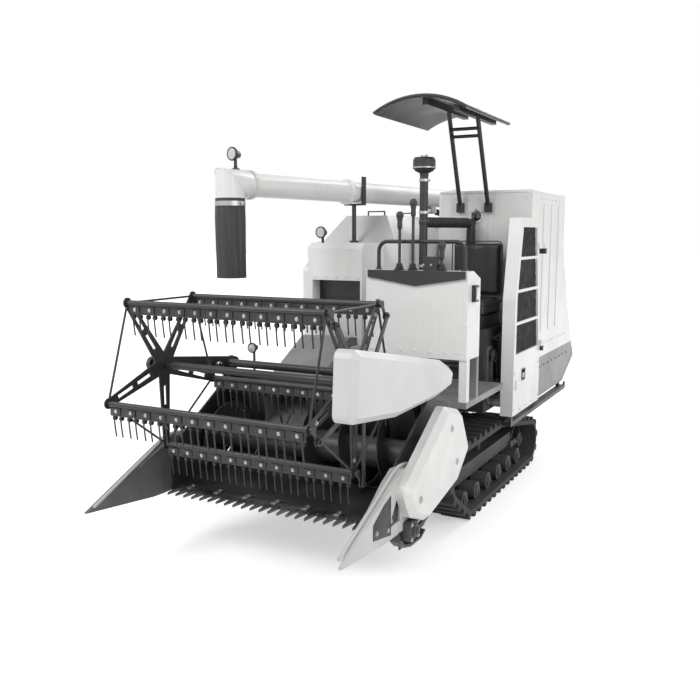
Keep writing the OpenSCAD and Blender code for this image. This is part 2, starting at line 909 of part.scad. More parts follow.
// Engine door: hinged at its rear edge, with a slanted front edge and four screened panes
door_gap = 6;
door_x = tank_out + door_gap;
hinge_r = 14;
hinge_pin_r = 8;
hinge_x = half_w - hinge_r;
hinge_gap = 4;
hinge_y = door_back + hinge_r + hinge_gap;
hinge_h = 40;
hinge_zs = [960, 1700];
door_slant_z = 1400;
door_slant = 110;
door_tail_z = 1000;
door_tail = 140;
door_lip_w = 30;
door_lip_d = 50;
pane_inset = 45;
pane_low = 1010;
pane_bar = 20;
pane_n = 4;
screen_t = 6;
screen_slots = 6;
slot_web_share = 0.3;
latch = [60, 60, 14];
leaf_l = 30;

// Rear edge of the door at height z
function door_rear(z) = door_back - door_tail * max(0, z - door_tail_z) / (door_top - door_tail_z);

function door_outline(m) =
    [[door_front + m, door_low + m], [door_front + m, door_slant_z], [door_front + door_slant + m,
        door_top - m],
        [door_back - door_tail - m, door_top - m], [door_back - m, door_tail_z], [door_back - m,
            door_low + m]];

module pane(k, x0, x1) {
    h = (door_top - pane_inset - pane_low) / pane_n;
    intersection() {
        across(x0, x1) polygon(door_outline(pane_inset));
        box([x0, x1], [door_front, door_back], [pane_low + k * h, pane_low + (k + 1) * h - pane_bar]);
    }
}

module door_hinges() {
    color("#333333")
        for (z = hinge_zs)
            difference() {
                union() {
                    translate([hinge_x, hinge_y, z]) cylinder(h = hinge_h, r = hinge_r);
                    box([tank_out, hinge_x], [hinge_y - hinge_r, hinge_y + hinge_r], [z, z + hinge_h]);
                }
                translate([hinge_x, hinge_y, z - over]) cylinder(h = hinge_h + 2 * over,
                    r = hinge_pin_r + run_gap);
            }
}

module engine_door() {
    color("whitesmoke") {
        difference() {
            union() {
                across(door_x, door_x + door_t) polygon(door_outline(0));
                across(door_x - door_lip_d, door_x + over)
                    difference() {
                        polygon(door_outline(0));
                        translate([door_lip_w, 0]) polygon(door_outline(0));
                    }
            }
            for (k = [0 : pane_n - 1])
                pane(k, door_x - over, door_x + door_t + over);
        }
        for (z = hinge_zs) {
            translate([0, 0, z + hinge_h + run_gap]) {
                translate([hinge_x, hinge_y, 0]) cylinder(h = hinge_h, r = hinge_r);
                box([door_x + door_t / 2, hinge_x], [door_rear(z + 2 * hinge_h) - leaf_l, hinge_y], [0,
                    hinge_h]);
                box([hinge_x - over, hinge_x + hinge_r], [door_back - hinge_h, hinge_y], [0, hinge_h]);
            }
            translate([hinge_x, hinge_y, z]) cylinder(h = hinge_h + over, r = hinge_pin_r);
        }
        translate([door_x + door_t - over, door_front + pane_inset, (door_low + pane_low - latch[1]) / 2])
            cube([latch[2], latch[0], latch[1]]);
    }
}

module engine_screen() {
    x = door_x + door_t / 2;
    pitch = (door_back - door_front) / screen_slots;
    color("#1c1c1c")
        for (k = [0 : pane_n - 1])
            difference() {
                pane(k, x - screen_t / 2, x + screen_t / 2);
                intersection() {
                    translate([0, pane_bar / 2, -pane_bar / 2]) pane(k, x - screen_t, x + screen_t);
                    translate([0, -pane_bar / 2, pane_bar / 2]) pane(k, x - screen_t, x + screen_t);
                    for (j = [0 : screen_slots - 1])
                        box([x - screen_t, x + screen_t], from(door_front + j * pitch,
                            (1 - slot_web_share) * pitch),
                            [door_low, door_top]);
                }
            }
}

// Unloading auger: column, turret with the lift hinge, tube with its elbow, rubber chute
col_x = -120;
col_in = 350;
col_y = thresher_back - col_in;
col_r = 95;
col_flange = 32;
col_flange_t = 16;
turret_z = 1960;
turret_h = 80;
root_r = 84;
root_half = 90;
root_pin_r = 20;
ear_r = 46;
tube_flange = 16;
tube_flange_t = 22;
// Places of the tube's flanges as shares of its length
tube_flange_shares = [0.06, 0.6, 0.94];
elbow_w = 206;
elbow_low = 122;
elbow_top = 105;
elbow_bevel = 50;
chute_w = 188;
chute_wall = 10;
boom_anchor = [-170, 1992];
boom_eye = [-600, 2045];
boom_half = 18;
boom_barrel_l = 340;
boom_rod_l = 320;
boom_r = 26;
rest_u = 1700;
rest_foot_r = 34;
rest_foot_t = 14;
rest_r = 16;
rest_t = 14;
rest_l = 40;
rest_horn = 190;

// The stowed boom's own frame: its tube runs along -Y from the column
module boom_frame() {
    translate([col_x, col_y, 0]) rotate([0, 0, -tube_yaw]) children();
}

module auger_column() {
    color("gainsboro")
        translate([col_x, col_y, thresher_top_z]) {
            cylinder(h = turret_z - thresher_top_z, r = col_r);
            cylinder(h = col_flange_t, r = col_r + col_flange);
        }
}

module auger_rest() {
    low = tube_z - tube_r - move_gap;
    color("#2a2a2a")
        boom_frame() {
            translate([0, -rest_u, thresher_top_z]) {
                cylinder(h = rest_foot_t, r = rest_foot_r);
                cylinder(h = low - rest_t / 2 - thresher_top_z, r = rest_r);
            }
            box([-tube_r, tube_r + move_gap + rest_t], ends(-rest_u, rest_l / 2), [low - rest_t, low]);
            box(from(tube_r + move_gap, rest_t), ends(-rest_u, rest_l / 2), [low - rest_t,
                low + rest_horn]);
        }
}

module auger_turret() {
    color("gainsboro")
        boom_frame() {
            translate([0, 0, turret_z + run_gap]) {
                cylinder(h = turret_h, r = col_r);
                cylinder(h = col_flange_t, r = col_r + col_flange);
            }
            for (side = [-1, 1])
                translate([side * (root_half + move_gap + cheek_t / 2), 0, 0])
                    across(-cheek_t / 2, cheek_t / 2) {
                        translate([0, tube_z]) circle(ear_r);
                        translate([-ear_r, turret_z + run_gap]) square([2 * ear_r, tube_z - turret_z]);
                    }
            shaft(-root_half - move_gap - cheek_t, root_half + move_gap + cheek_t, [0, tube_z], root_pin_r);
            for (side = [-1, 1])
                translate([side * (boom_half + cheek_gap + cheek_t / 2), 0, 0])
                    across(-cheek_t / 2, cheek_t / 2) {
                        translate(boom_anchor) circle(eye_r);
                        translate([boom_anchor[0], boom_anchor[1] - eye_r]) square([-boom_anchor[0],
                            2 * eye_r]);
                    }
            shaft(-boom_half - cheek_t, boom_half + cheek_t, boom_anchor, pin_r);
        }
}

module auger_tube() {
    color("whitesmoke")
        boom_frame() {
            difference() {
                union() {
                    rod([0, 0, tube_z], [0, -tube_l, tube_z], tube_r);
                    shaft(-root_half, root_half, [0, tube_z], root_r);
                    for (q = tube_flange_shares)
                        rod([0, -q * tube_l, tube_z], [0, -q * tube_l - tube_flange_t, tube_z],
                            tube_r + tube_flange);
                    translate([0, -tube_l, 0])
                        across(-elbow_w / 2, elbow_w / 2)
                            polygon([[elbow_w / 2, tube_z - elbow_low], [elbow_w / 2, tube_z + elbow_top],
                                [elbow_bevel - elbow_w / 2, tube_z + elbow_top],
                                [-elbow_w / 2, tube_z + elbow_top - elbow_bevel], [-elbow_w / 2,
                                    tube_z - elbow_low]]);
                    pin_cheeks(0, boom_half, boom_eye, eye_r, tube_z - tube_r / 2);
                }
                shaft(-root_half - over, root_half + over, [0, tube_z], root_pin_r + run_gap);
            }
        }
}

module boom_lamp() {
    color("#262626")
        boom_frame()
            translate([0, elbow_w / 4 - tube_l, tube_z + elbow_top]) round_lamp(lamp_r, lamp_d, lamp_stem);
}

module auger_chute() {
    top = tube_z - elbow_low;
    color("#1e1e1e")
        boom_frame()
            translate([0, -tube_l, top - chute_l])
                difference() {
                    box(ends(0, chute_w / 2), ends(0, chute_w / 2), [0, chute_l]);
                    box(ends(0, chute_w / 2 - chute_wall), ends(0, chute_w / 2 - chute_wall),
                        [-over, chute_l - chute_wall]);
                }
}

// Hydraulic cylinder across p to q in the plane of y and z: the barrel turns on its pin at p
module barrel(x, p, q, l, r, half, bore) {
    v = q - p;
    neck = eye_r + move_gap;
    translate([x, p[0], p[1]]) rotate([atan2(v[1], v[0]), 0, 0])
        difference() {
            union() {
                shaft(-half, half, [0, 0], eye_r);
                box(ends(0, half), [0, neck + over], ends(0, min(half, r / 2)));
                translate([0, neck, 0]) rotate([-90, 0, 0]) cylinder(h = l - neck, r = r);
            }
            shaft(-half - over, half + over, [0, 0], pin_r + run_gap);
            translate([0, 2 * eye_r, 0]) rotate([-90, 0, 0]) cylinder(h = l, r = bore + run_gap);
        }
}

// The rod that slides in it, with an open eye round the pin at q
module piston_rod(x, p, q, l, half, bore) {
    v = q - p;
    translate([x, p[0], p[1]]) rotate([atan2(v[1], v[0]), 0, 0])
        difference() {
            union() {
                translate([0, norm(v) - l, 0]) rotate([-90, 0, 0]) cylinder(h = l, r = bore);
                shaft(-half, half, [norm(v), 0], eye_r);
            }
            shaft(-max(half, bore) - over, max(half, bore) + over, [norm(v), 0], pin_r + eye_gap);
        }
}

rod_r = 15;

module boom_barrel() {
    color("#444444") boom_frame() barrel(0, boom_anchor, boom_eye, boom_barrel_l, boom_r, boom_half, rod_r);
}

module boom_rod() {
    color("silver") boom_frame() piston_rod(0, boom_anchor, boom_eye, boom_rod_l, boom_half, rod_r);
}

// Header: floor and trough sheet, side plates, back wall with the feeder's mouth
pan_t = 14;
trough_gap = 12;
trough_rise = 50;
lap_a = 4;
trough_r = auger_r + trough_gap;
auger_y = wall_y - pan_t - trough_r;
auger_z = knife_z + pan_t + trough_rise + trough_r;
auger_axis = [auger_y, auger_z];
auger_shaft_r = 25;
plate_t = 12;
divider_w = 70;
header_half = half_w - side_cover_t - divider_w - plate_t;
plate_nose = 50;
plate_nose_z = 560;
plate_mid_in = 60;
plate_mid_z = 660;
plate_mid = [knife_y + plate_mid_in, plate_mid_z];
mouth_low = 600;
mouth_h = 280;
pivot_fore = 40;
pivot_rise = 70;
reel_pivot = [wall_y - pivot_fore, wall_top + pivot_rise];
pivot_r = 18;
pivot_ear_r = 45;
anchor_fore = 60;
anchor_drop = 160;
reel_anchor = [wall_y - anchor_fore, wall_top - anchor_drop];
arm_gap = 5;
arm_t = 25;
arm_half = 40;
reel_cyl_half = 12;
arm_x = header_half - arm_gap - arm_t;
reel_barrel_r = 24;
reel_cyl_x = arm_x - reel_barrel_r - move_gap;

// Angle at which a straight run from point p meets a circle below its centre c
function meet(p, c, r) = atan2(p[1] - c[1], p[0] - c[0]) + acos(r / norm(p - c));

// The floor sheet runs into the trough's thickness, so that they lap
module pan_section() {
    edge = [knife_y, knife_z];
    face = [knife_y, knife_z + pan_t];
    trough_out = trough_r + pan_t - 2 * over;
    a = meet(edge, auger_axis, trough_out - over);
    b = meet(face, auger_axis, trough_r + over);
    start = min(a, b) - lap_a;
    reach = 2 * trough_r;
    polygon([edge, auger_axis + (trough_out - over) * unit(a), auger_axis + (trough_r + over)
        * unit(b), face]);
    intersection() {
        translate(auger_axis)
            difference() {
                circle(trough_out);
                circle(trough_r);
            }
        polygon([auger_axis, auger_axis + reach * unit(start), auger_axis + reach * [1, -1],
            auger_axis + reach * [1, 0]]);
    }
    translate([wall_y - pan_t + over, auger_z - over]) square([pan_t - over, wall_top - auger_z + over]);
}

module side_section() {
    low = auger_z - trough_r - pan_t;
    difference() {
        union() {
            polygon([[knife_y - plate_nose, knife_z], [auger_y, low], [wall_y, auger_z - trough_r / 2],
                [wall_y, reel_pivot[1]], [reel_pivot[0] - pivot_ear_r, reel_pivot[1]],
                [reel_pivot[0] - 2 * pivot_ear_r, wall_top - pivot_ear_r], plate_mid,
                [knife_y - plate_nose, plate_nose_z]]);
            translate(reel_pivot) circle(pivot_ear_r);
        }
        translate(auger_axis) circle(auger_shaft_r + run_gap);
    }
}

module header_pan() {
    mouth_half = feed_half - feed_wall;
    color("#383838") {
        difference() {
            across(-header_half, header_half) pan_section();
            box([inlet_x - mouth_half, inlet_x + mouth_half], [wall_y - 2 * pan_t, wall_y + over],
                [mouth_low + feed_wall, mouth_low + mouth_h - feed_wall]);
        }
        both() {
            across(header_half, header_half + plate_t) side_section();
            shaft(arm_x - arm_gap, header_half + over, reel_pivot, pivot_r);
            shaft(reel_cyl_x - reel_cyl_half, header_half + over, reel_anchor, pin_r);
        }
    }
}

// Feeder house from the header's back wall to its round end on the lift axis
lift_eye_in = 140;
lift_eye_z = 500;
lift_eye = [wall_y + lift_eye_in, lift_eye_z];

module feeder_section(w) {
    mid = [wall_y, mouth_low + mouth_h / 2];
    v = lift_axis - mid;
    n = [-v[1], v[0]] / norm(v);
    polygon([[wall_y - over * min(w, 1), mouth_low + w], lift_axis - (feed_r - w) * n,
        lift_axis + (feed_r - w) * n,
        [wall_y - over * min(w, 1), mouth_low + mouth_h - w]]);
    translate(lift_axis) circle(feed_r - w);
}

module feeder_house() {
    x = ends(inlet_x, feed_half);
    color("gray")
        difference() {
            union() {
                across(x[0], x[1]) feeder_section(0);
                pin_cheeks(lift_x, lift_eye_half, lift_eye, eye_r, mouth_low + mouth_h / 2);
            }
            across(x[0] + feed_wall, x[1] - feed_wall) {
                feeder_section(feed_wall);
                translate([lift_y, lift_z - feed_r + 2 * feed_wall]) square([2 * feed_r,
                    2 * feed_r - 4 * feed_wall]);
            }
            shaft(x[0] - over, x[1] + over, lift_axis, lift_pin_r + run_gap);
        }
}

// Cutter bar: guard fingers and the knife's sections
finger_l = 95;
finger_bar = 40;
section_t = 6;
// Outline of one guard finger: share of the pitch, share of its length
finger_shares = [[0.2, 0], [0.4, 0.75], [0.47, 1], [0.53, 1], [0.6, 0.75], [0.8, 0]];
section_shares = [[0.05, 0], [0.42, 0.55], [0.58, 0.55], [0.95, 0]];

module comb(shares) {
    pitch = 2 * header_half / finger_n;
    front = knife_y - finger_bar;
    polygon(concat([[-header_half, knife_y], [-header_half, front]],
        [for (k = [0 : finger_n - 1], q = shares) [(k + q[0]) * pitch - header_half,
            front - q[1] * finger_l]],
        [[header_half, front], [header_half, knife_y]]));
}

module cutter_bar() {
    color("#2e2e2e") {
        translate([0, 0, knife_z]) linear_extrude(pan_t) comb(finger_shares);
        translate([0, 0, knife_z + pan_t]) linear_extrude(section_t) comb(section_shares);
    }
}

// Crop dividers: pointed wedges outside the side plates
divider_tip_w = 20;
divider_tip_z = 370;
divider_lean = 20;
divider_top_z = 655;
divider_top = [knife_y - divider_lean, divider_top_z];
divider_run = 120;
divider_back = knife_y + divider_run;
divider_back_z = 640;
divider_heel = 200;
divider_taper = 100;
window_d = 16;
// Corners of the recessed triangle as shares between the heel and the top
window_shares = [[0.1, 0.2], [0.85, 0.2], [0.85, 0.75]];

module crop_dividers() {
    x0 = header_half + plate_t;
    x1 = x0 + divider_w;
    heel = [knife_y - divider_heel, knife_z];
    color("gainsboro")
        both()
            difference() {
                across(x0, x1)
                    polygon([[-front_reach, divider_tip_z], heel, [divider_back, knife_z],
                        [divider_back, divider_back_z],
                        divider_top]);
                linear_extrude(divider_top[1] + over)
                    polygon([[x0 - over, knife_y - divider_taper], [x1 - divider_tip_w, -front_reach],
                        [x1 - divider_tip_w, -front_reach - over], [x0 - over, -front_reach - over]]);
                across(x1 - window_d, x1 + over)
                    polygon([for (q = window_shares)
                        [heel[0] + q[0] * (divider_top[0] - heel[0]),
                            heel[1] + q[1] * (divider_top[1] - heel[1])]]);
            }
}

// Drive cover on the header's side, bevelled round its face
cover_in = header_half + plate_t + divider_w;
side_cover_r = 55;
side_cover_bevel = 34;
stay_fore = 80;
stay_rise = 90;
side_cover_stay = [auger_y + stay_fore, auger_z + stay_rise];
stay_r = 26;
// Corners of the cover as shares of the knife-to-wall depth and of the wall's height
side_cover_shares = [[0.02, 0.2], [0.28, 0.1], [0.95, 0.23], [1.22, 0.44], [1.04, 0.75], [0.73, 0.83],
    [-0.08, 0.36]];

module header_cover() {
    corners = [for (q = side_cover_shares)
        [knife_y + q[0] * (wall_y - knife_y), knife_z + q[1] * (wall_top - knife_z)]];
    color("whitesmoke") {
        bevelled_plate(corners, side_cover_r, side_cover_bevel, cover_in, half_w, $fn = 24);
        shaft(header_half + plate_t, cover_in + over, side_cover_stay, stay_r);
    }
}

// Lamp on the header's back wall
head_lamp_x = -545;
head_lamp_stem = 140;
head_lamp_r = 32;
head_lamp_d = 50;

module header_lamp() {
    color("#2a2a2a")
        translate([head_lamp_x, wall_y - pan_t / 2, wall_top]) round_lamp(head_lamp_r, head_lamp_d,
            head_lamp_stem);
}

// Cross auger: drum, two handed flights and the feeding fingers between them
auger_end = 8;
flight_t = 26;
flight_pitch = 240;
flight_step = 15;
flight_gap = 0.8;
flight_stop = 190;
flight_ends = [inlet_x - flight_stop, inlet_x + flight_stop];
feed_finger_r = 7;
feed_finger_l = 90;
// Feeding fingers: share of the gap between the flights, angle round the drum
feed_fingers = [[0.15, 20], [0.4, 140], [0.6, 260], [0.85, 20], [0.25, 200], [0.75, 320]];

module flight(x0, l, hand) {
    turn = 360 * l / flight_pitch;
    translate([x0, auger_y, auger_z]) rotate([0, 90, 0])
        linear_extrude(height = l, twist = hand * turn, slices = ceil(turn / flight_step), segments = 4)
            translate([drum_r + flight_gap, -flight_t / 2]) square([auger_r - drum_r - flight_gap,
                flight_t]);
}

module cross_auger() {
    end = header_half - auger_end;
    color("#4d4d4d") {
        shaft(-end, end, auger_axis, drum_r);
        shaft(-header_half - plate_t, header_half + plate_t, auger_axis, auger_shaft_r);
        flight(-end, flight_ends[0] + end, 1);
        flight(flight_ends[1], end - flight_ends[1], -1);
        for (q = feed_fingers)
            translate([flight_ends[0] + q[0] * (flight_ends[1] - flight_ends[0]), auger_y, auger_z])
                rotate([q[1], 0, 0]) cylinder(h = drum_r + feed_finger_l, r = feed_finger_r);
    }
}

// Header lift cylinder
lift_barrel_l = 350;
lift_rod_l = 340;
lift_r = 28;

module lift_barrel() {
    color("#444444") barrel(lift_x, lift_anchor, lift_eye, lift_barrel_l, lift_r, lift_eye_half, rod_r);
}

module lift_rod() {
    color("silver") piston_rod(lift_x, lift_anchor, lift_eye, lift_rod_l, lift_eye_half, rod_r);
}

// Reel: arms on the header, drive cover, spiders, tine bars and the offset ring that keeps the tines upright
bar_n = 5;
reel_axis = [reel_y, reel_z];
reel_phase = 54;
reel_shaft_r = 20;
shaft_room = 6;
bar_r = 15;
spider_t = 8;
hub_r = 70;
spoke_w = 46;
spoke_root = 92;
tip_r = 28;
// Slots in a spoke: start and end as shares of the reel's radius
slot_shares = [[0.24, 0.5], [0.58, 0.84]];
slot_w_share = 0.45;
tie_r = 6;
crank_a = 300;
crank_v = crank_l * unit(crank_a);
crank_t = 8;
spider_half = header_half - reel_room;
crank_gap = 16;
crank_x = spider_half + spider_t / 2 + crank_gap;
crank_pin_r = 8;
crank_boss_r = 20;
ring_t = 8;
ring_x = crank_x + crank_t + move_gap;
ring_bore_r = 115;
ring_w = 25;
ring_spoke_w = 28;
ring_boss_r = 18;
disc_over = 2;
boss_r = 88;
slat_t = 6;
slat_top = 8;
slat_low = 60;
slat_gap = 10;
tine_r = 4;
tine_edge = 42;
tine_pair = 44;
tine_bend_r = 1000;
bar_end = 16;
cross_tube_share = 0.1;
cross_tube_r = 25;
reel_eye_fore = 250;
reel_eye_rise = 10;
reel_eye = [wall_y - reel_eye_fore, reel_pivot[1] + reel_eye_rise];

function bar_axis(k) = reel_axis + reel_r * unit(reel_phase + k * 360 / bar_n);

module arm_section() {
    v = reel_axis - reel_pivot;
    n = arm_half * [-v[1], v[0]] / norm(v);
    polygon([reel_pivot + n, reel_pivot - n, reel_axis - n, reel_axis + n]);
    translate(reel_pivot) circle(arm_half);
    translate(reel_axis) circle(arm_half);
}

module reel_arms() {
    cross = reel_pivot + cross_tube_share * (reel_axis - reel_pivot);
    color("#303030") {
        difference() {
            union() {
                both() {
                    across(arm_x, arm_x + arm_t) arm_section();
                    shaft(reel_cyl_x - reel_cyl_half, arm_x + over, reel_eye, pin_r);
                }
                shaft(ring_x - disc_over, ring_x + ring_t + disc_over, reel_axis + crank_v, ring_bore_r);
                shaft(ring_x + ring_t, arm_x + over, reel_axis + crank_v, boss_r);
            }
            both() shaft(arm_x - over, arm_x + arm_t + over, reel_pivot, pivot_r + run_gap);
            both() shaft(arm_x - over, arm_x + arm_t + over, reel_axis, reel_shaft_r + run_gap);
            shaft(0, arm_x, reel_axis, reel_shaft_r + shaft_room);
        }
        shaft(-arm_x - over, arm_x + over, cross, cross_tube_r);
    }
}

reel_cover_t = 112;
reel_cover_x = from(header_half + plate_t + move_gap, reel_cover_t);
reel_cover_r = 45;
reel_cover_bevel = 30;
// Corners of the cover: share of the arm's length from its pivot, share of the reel's radius over its axis
reel_cover_shares = [[1.48, 0.4], [0.2, 0], [0.03, -0.12], [0.05, -0.2], [0.26, -0.24], [0.93, -0.25],
    [1.5, -0.13]];
// Places of the stays between the arm and its cover along the arm
reel_stay_shares = [0.3, 0.8];

module reel_cover() {
    corners = [for (q = reel_cover_shares)
        [reel_pivot[0] + q[0] * (reel_y - reel_pivot[0]), reel_z + q[1] * reel_r]];
    color("gainsboro") {
        bevelled_plate(corners, reel_cover_r, reel_cover_bevel, reel_cover_x[0], reel_cover_x[1], $fn = 24);
        for (q = reel_stay_shares)
            shaft(arm_x + arm_t, reel_cover_x[0] + over, reel_pivot + q * (reel_axis - reel_pivot), stay_r);
    }
}

module spider_section() {
    difference() {
        union() {
            circle(hub_r);
            for (k = [0 : bar_n - 1])
                rotate(reel_phase + k * 360 / bar_n) {
                    polygon([[0, -spoke_root / 2], [reel_r, -spoke_w / 2], [reel_r, spoke_w / 2], [0,
                        spoke_root / 2]]);
                    translate([reel_r, 0]) circle(tip_r);
                }
        }
        for (k = [0 : bar_n - 1])
            rotate(reel_phase + k * 360 / bar_n) {
                translate([reel_r, 0]) circle(bar_r + run_gap);
                for (q = slot_shares)
                    translate([q[0] * reel_r, -slot_w_share * spoke_w / 2])
                        square([(q[1] - q[0]) * reel_r, slot_w_share * spoke_w]);
            }
    }
}

module reel_frame() {
    color("#2b2b2b") {
        for (x = spider_half * [-1, 1])
            translate([0, reel_y, reel_z]) across(x - spider_t / 2, x + spider_t / 2) spider_section();
        shaft(-arm_x - arm_t, arm_x + arm_t, reel_axis, reel_shaft_r);
        for (x = spider_half * [-1, 1], k = [0 : bar_n - 1]) {
            a = bar_axis(k);
            b = bar_axis(k + 1);
            trim = (tip_r - over) / norm(b - a);
            p = a + trim * (b - a);
            q = b - trim * (b - a);
            rod([x, p[0], p[1]], [x, q[0], q[1]], tie_r);
        }
    }
}

module reel_ring() {
    color("#3a3a3a")
        translate([0, reel_y + crank_v[0], reel_z + crank_v[1]])
            across(ring_x, ring_x + ring_t)
                difference() {
                    union() {
                        circle(ring_bore_r + run_gap + ring_w);
                        for (k = [0 : bar_n - 1])
                            rotate(reel_phase + k * 360 / bar_n) {
                                translate([0, -ring_spoke_w / 2]) square([reel_r, ring_spoke_w]);
                                translate([reel_r, 0]) circle(ring_boss_r);
                            }
                    }
                    circle(ring_bore_r + run_gap);
                    for (k = [0 : bar_n - 1])
                        rotate(reel_phase + k * 360 / bar_n) translate([reel_r, 0])
                            circle(crank_pin_r + run_gap);
                }
}

// One tine bar: tube, slats between the spiders, hanging tines and the crank that the ring holds
module tine_bar(k) {
    half = spider_half - spider_t / 2 - slat_gap;
    step = 2 * (half - tine_edge) / (tine_n - 1);
    bend = tine_l / tine_bend_r * 180 / PI;
    color("#262626")
        translate([0, bar_axis(k)[0], bar_axis(k)[1]]) {
            shaft(-spider_half - bar_end, crank_x + crank_t, [0, 0], bar_r);
            box(ends(0, half), ends(0, slat_t / 2), [-slat_low, -slat_top]);
            for (i = [0 : tine_n - 1], side = [-1, 1])
                translate([tine_edge - half + i * step + side * tine_pair / 2, tine_bend_r, -slat_top])
                    rotate([-90, 0, 0]) rotate([0, 90, 0])
                        rotate_extrude(angle = bend) translate([tine_bend_r, 0]) circle(tine_r);
            across(crank_x, crank_x + crank_t) {
                circle(crank_boss_r);
                translate(crank_v) circle(crank_boss_r);
                rotate(crank_a) translate([0, -crank_pin_r]) square([crank_l, 2 * crank_pin_r]);
            }
            shaft(crank_x + crank_t / 2, ring_x + ring_t + crank_pin_r, crank_v, crank_pin_r);
        }
}

module tine_bar_1() {
    tine_bar(0);
}

module tine_bar_2() {
    tine_bar(1);
}

module tine_bar_3() {
    tine_bar(2);
}

module tine_bar_4() {
    tine_bar(3);
}

module tine_bar_5() {
    tine_bar(4);
}

// Reel lift cylinders, one inside each arm
reel_barrel_l = 215;
reel_rod_l = 190;

module reel_barrels() {
    color("#444444")
        both() barrel(reel_cyl_x, reel_anchor, reel_eye, reel_barrel_l, reel_barrel_r, reel_cyl_half,
            rod_r);
}

module reel_rods() {
    color("silver") both() piston_rod(reel_cyl_x, reel_anchor, reel_eye, reel_rod_l, reel_cyl_half, rod_r);
}

chassis_frame();
gearbox();
track_left();
track_right();
undercarriage_left();
undercarriage_right();
engine_block();
thresher_body();
thresher_top();
thresher_side();
straw_hood();
grain_tank();
side_panel();
side_step();
operator_floor();
console();
console_hood();
control_levers();
handrail();
seat_base();
seat_cushion();
seat_back();
canopy_frame();
canopy_roof();
intake_stack();
work_lamps();
door_hinges();
auger_column();
auger_rest();
engine_door();
engine_screen();
auger_turret();
auger_tube();
auger_chute();
boom_lamp();
boom_barrel();
boom_rod();
header_pan();
feeder_house();
cutter_bar();
crop_dividers();
header_cover();
header_lamp();
cross_auger();
lift_barrel();
lift_rod();
reel_arms();
reel_cover();
reel_frame();
reel_ring();
tine_bar_1();
tine_bar_2();
tine_bar_3();
tine_bar_4();
tine_bar_5();
reel_barrels();
reel_rods();
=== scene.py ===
"""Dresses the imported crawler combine: finishes for every solid, a sewn seat, lamps, fasteners and fittings."""

import logging
from dataclasses import dataclass, field
from enum import Enum
from functools import cache
from math import acos, atan2, cos, exp, hypot, pi, radians, sin, sqrt
from typing import Callable, Iterable, Sequence

import bmesh
import bpy
from mathutils import Matrix, Vector


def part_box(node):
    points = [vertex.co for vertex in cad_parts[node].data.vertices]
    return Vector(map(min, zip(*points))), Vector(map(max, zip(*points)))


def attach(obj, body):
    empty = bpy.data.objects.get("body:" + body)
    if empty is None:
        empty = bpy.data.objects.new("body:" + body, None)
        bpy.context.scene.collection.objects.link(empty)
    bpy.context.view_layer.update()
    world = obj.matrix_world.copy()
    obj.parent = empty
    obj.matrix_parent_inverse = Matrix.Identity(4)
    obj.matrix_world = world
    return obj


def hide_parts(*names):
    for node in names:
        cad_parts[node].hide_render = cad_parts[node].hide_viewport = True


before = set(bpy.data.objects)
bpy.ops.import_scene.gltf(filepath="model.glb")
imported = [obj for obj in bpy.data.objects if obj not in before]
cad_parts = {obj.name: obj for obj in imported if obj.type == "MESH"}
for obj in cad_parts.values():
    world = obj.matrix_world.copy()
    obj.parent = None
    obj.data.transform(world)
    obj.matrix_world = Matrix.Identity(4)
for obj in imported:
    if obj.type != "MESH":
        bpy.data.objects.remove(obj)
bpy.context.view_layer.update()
LOG = logging.getLogger("combine")

Pair = tuple[float, float]
Triple = tuple[float, float, float]
Colour = Triple
Spot = Sequence[float]
Line = tuple[Spot, ...]
Rings = tuple[Pair, ...]
Outline = tuple[Pair, ...]
Box = tuple[Spot, Spot, float] | tuple[Spot, Spot, float, int]
Piece = bpy.types.Object
Tree = bpy.types.NodeTree
Socket = bpy.types.NodeSocket
move = Matrix.Translation

BOLT_HEAD: Rings = ((0.18, 0.96), (0.22, 1), (0.7, 1), (0.8, 0.86))
BOLT_WASHER: Rings = ((-0.05, 1.45), (0.14, 1.45), (0.2, 1.35))


class Slot(str, Enum):
    """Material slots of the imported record."""

    WHITE = "white_paint"
    GREY = "grey_paint"
    DARK = "dark_paint"
    RUBBER = "rubber"
    PLASTIC = "black_plastic"
    SEAT = "seat_cover"
    IRON = "engine_iron"
    BRIGHT = "rod_chrome"


class Face(Enum):
    """The axis that a round or flat piece points along."""

    RIGHT = (1, 0, 0)
    LEFT = (-1, 0, 0)
    FRONT = (0, -1, 0)
    REAR = (0, 1, 0)
    UP = (0, 0, 1)
    DOWN = (0, 0, -1)

    def turn(self) -> Matrix:
        """Turn that lays +Z on this axis."""
        return Vector(self.value).to_track_quat("Z", "Y").to_matrix().to_4x4()


